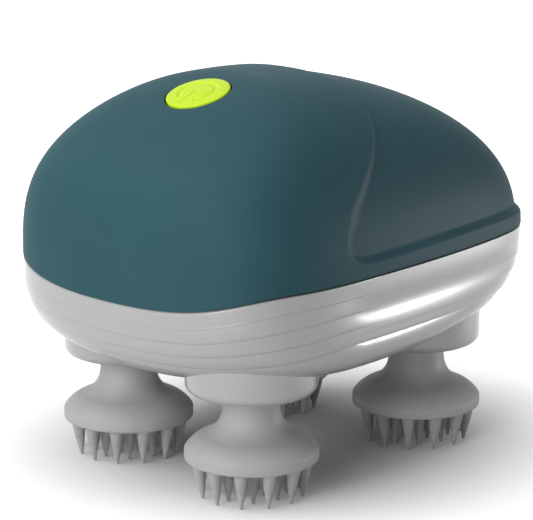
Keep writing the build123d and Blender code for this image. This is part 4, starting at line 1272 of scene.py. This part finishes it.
@dataclass
class Studio:
    """Pale floor, soft light and the camera."""

    eye: Place3 = (472.6, -527.2, 223.7)
    look_at: Place3 = (-6.0, 2.5, 48.4)
    lens: float = 187.3
    sensor: float = 36.0
    world_strength: float = 0.16
    floor_colour: float = 0.82
    # Painted shade: the floor's glow is lower near the object, so the floor darkens round it.
    shade_edge_glow: float = 0.75
    open_floor_glow: float = 1.05
    painted_shade_span: Place = (0.025, 0.115)
    shade_fade_span: Place = (0.115, 0.4)
    softboxes: tuple[Softbox, ...] = (
        Softbox("front_left", (-0.55, 0.3, 0.78), (0.0, 0.0, 0.0), (0.65, 0.65), 5.6),
        Softbox("high_left", (-0.65, 0.7, 0.1), (0.0, 0.0, 0.0), (0.7, 0.7), 2.8),
        Softbox("overhead", (0.0, 1.0, 0.0), (0.0, 0.0, 0.0), (0.7, 0.7), 2.8),
        Softbox("low_strip", (0.327, -0.02, -0.052), (0.04, 0.0, 0.0), (0.14, 0.065), 0.54,
                shine_only=True),
    )

    def camera(self) -> None:
        """Sets up the camera."""
        made = bpy.data.objects.new("camera", bpy.data.cameras.new("camera"))
        bpy.context.scene.collection.objects.link(made)
        made.data.lens, made.data.sensor_width = self.lens, self.sensor
        made.data.clip_start, made.data.clip_end = 0.01, 50.0
        eye, target = Vector(self.eye) * MM, Vector(self.look_at) * MM
        made.location = eye
        made.rotation_euler = (target - eye).to_track_quat("-Z", "Y").to_euler()
        bpy.context.scene.camera = made

    def lamps(self) -> None:
        """Places the softboxes round the object."""
        middle = Vector(self.look_at) * MM
        towards = Vector(self.eye) * MM - middle
        towards = Vector((towards.x, towards.y, 0.0)).normalized()
        right = Vector((0, 0, 1)).cross(towards)
        axes = Matrix((right, (0, 0, 1), towards)).transposed()
        for box in self.softboxes:
            lamp = bpy.data.lights.new(box.name, "AREA")
            lamp.shape, lamp.energy = "RECTANGLE", box.power
            lamp.size, lamp.size_y = box.size
            made = bpy.data.objects.new(box.name, lamp)
            made.location = middle + axes @ Vector(box.place)
            aim = middle + axes @ Vector(box.target) - made.location
            made.rotation_euler = aim.to_track_quat("-Z", "Y").to_euler()
            made.visible_camera = False
            made.visible_diffuse = not box.shine_only
            bpy.context.scene.collection.objects.link(made)

    def surround(self) -> None:
        """Lights the world evenly, and shows it white to the camera and in reflections."""
        world = bpy.data.worlds.new("studio")
        bpy.context.scene.world = world
        world.use_nodes = True
        wiring = Wiring(world.node_tree)
        background = world.node_tree.nodes["Background"]
        strength = wiring.add("MapRange", wiring.seen_directly(), To_Min=self.world_strength,
                              To_Max=1.0)
        wiring.join(strength.outputs["Result"], background.inputs["Strength"])
        wiring.fill(background, Color=(1, 1, 1, 1))

    def floor(self) -> None:
        """Lays the white floor, which keeps the object's shadow. Its glow to the camera and in
        reflections fades towards the object, which paints shade round the object on top of that
        shadow.
        """
        shape = bmesh.new()
        bmesh.ops.create_grid(shape, x_segments=1, y_segments=1, size=6.0)
        mesh = bpy.data.meshes.new("floor")
        shape.to_mesh(mesh)
        shape.free()
        made = bpy.data.objects.new("floor", mesh)
        bpy.context.scene.collection.objects.link(made)
        paper = bpy.data.materials.new("studio_floor")
        paper.use_nodes = True
        wiring = Wiring(paper.node_tree)
        wiring.fill(wiring.shader, Base_Color=(*[self.floor_colour] * 3, 1), Roughness=0.8,
                    Specular_IOR_Level=0.0, Emission_Color=(1, 1, 1, 1))
        reach = wiring.add("VectorMath", wiring.add("TexCoord").outputs["Object"])
        reach.operation = "LENGTH"
        # Painted shade: the glow rises from nothing under the object, so the floor round it reads
        # darker.
        near = wiring.rise(reach.outputs["Value"], self.painted_shade_span, self.shade_edge_glow)
        beyond = self.open_floor_glow - self.shade_edge_glow
        far = wiring.rise(reach.outputs["Value"], self.shade_fade_span, beyond)
        lift = wiring.combine("ADD", near, far)
        shown = wiring.combine("MULTIPLY", wiring.seen_directly(), lift)
        wiring.join(shown, wiring.shader.inputs["Emission Strength"])
        made.data.materials.append(paper)

    def build(self) -> None:
        """Sets up the whole studio."""
        self.camera()
        self.lamps()
        self.surround()
        self.floor()
        bpy.context.scene.view_settings.view_transform = "Standard"


def main() -> None:
    """Builds the object and the studio."""
    logging.basicConfig(level=logging.INFO, format="%(message)s")
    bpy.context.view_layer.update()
    Massager().build()
    Studio().build()


if __name__ == "__main__":
    main()
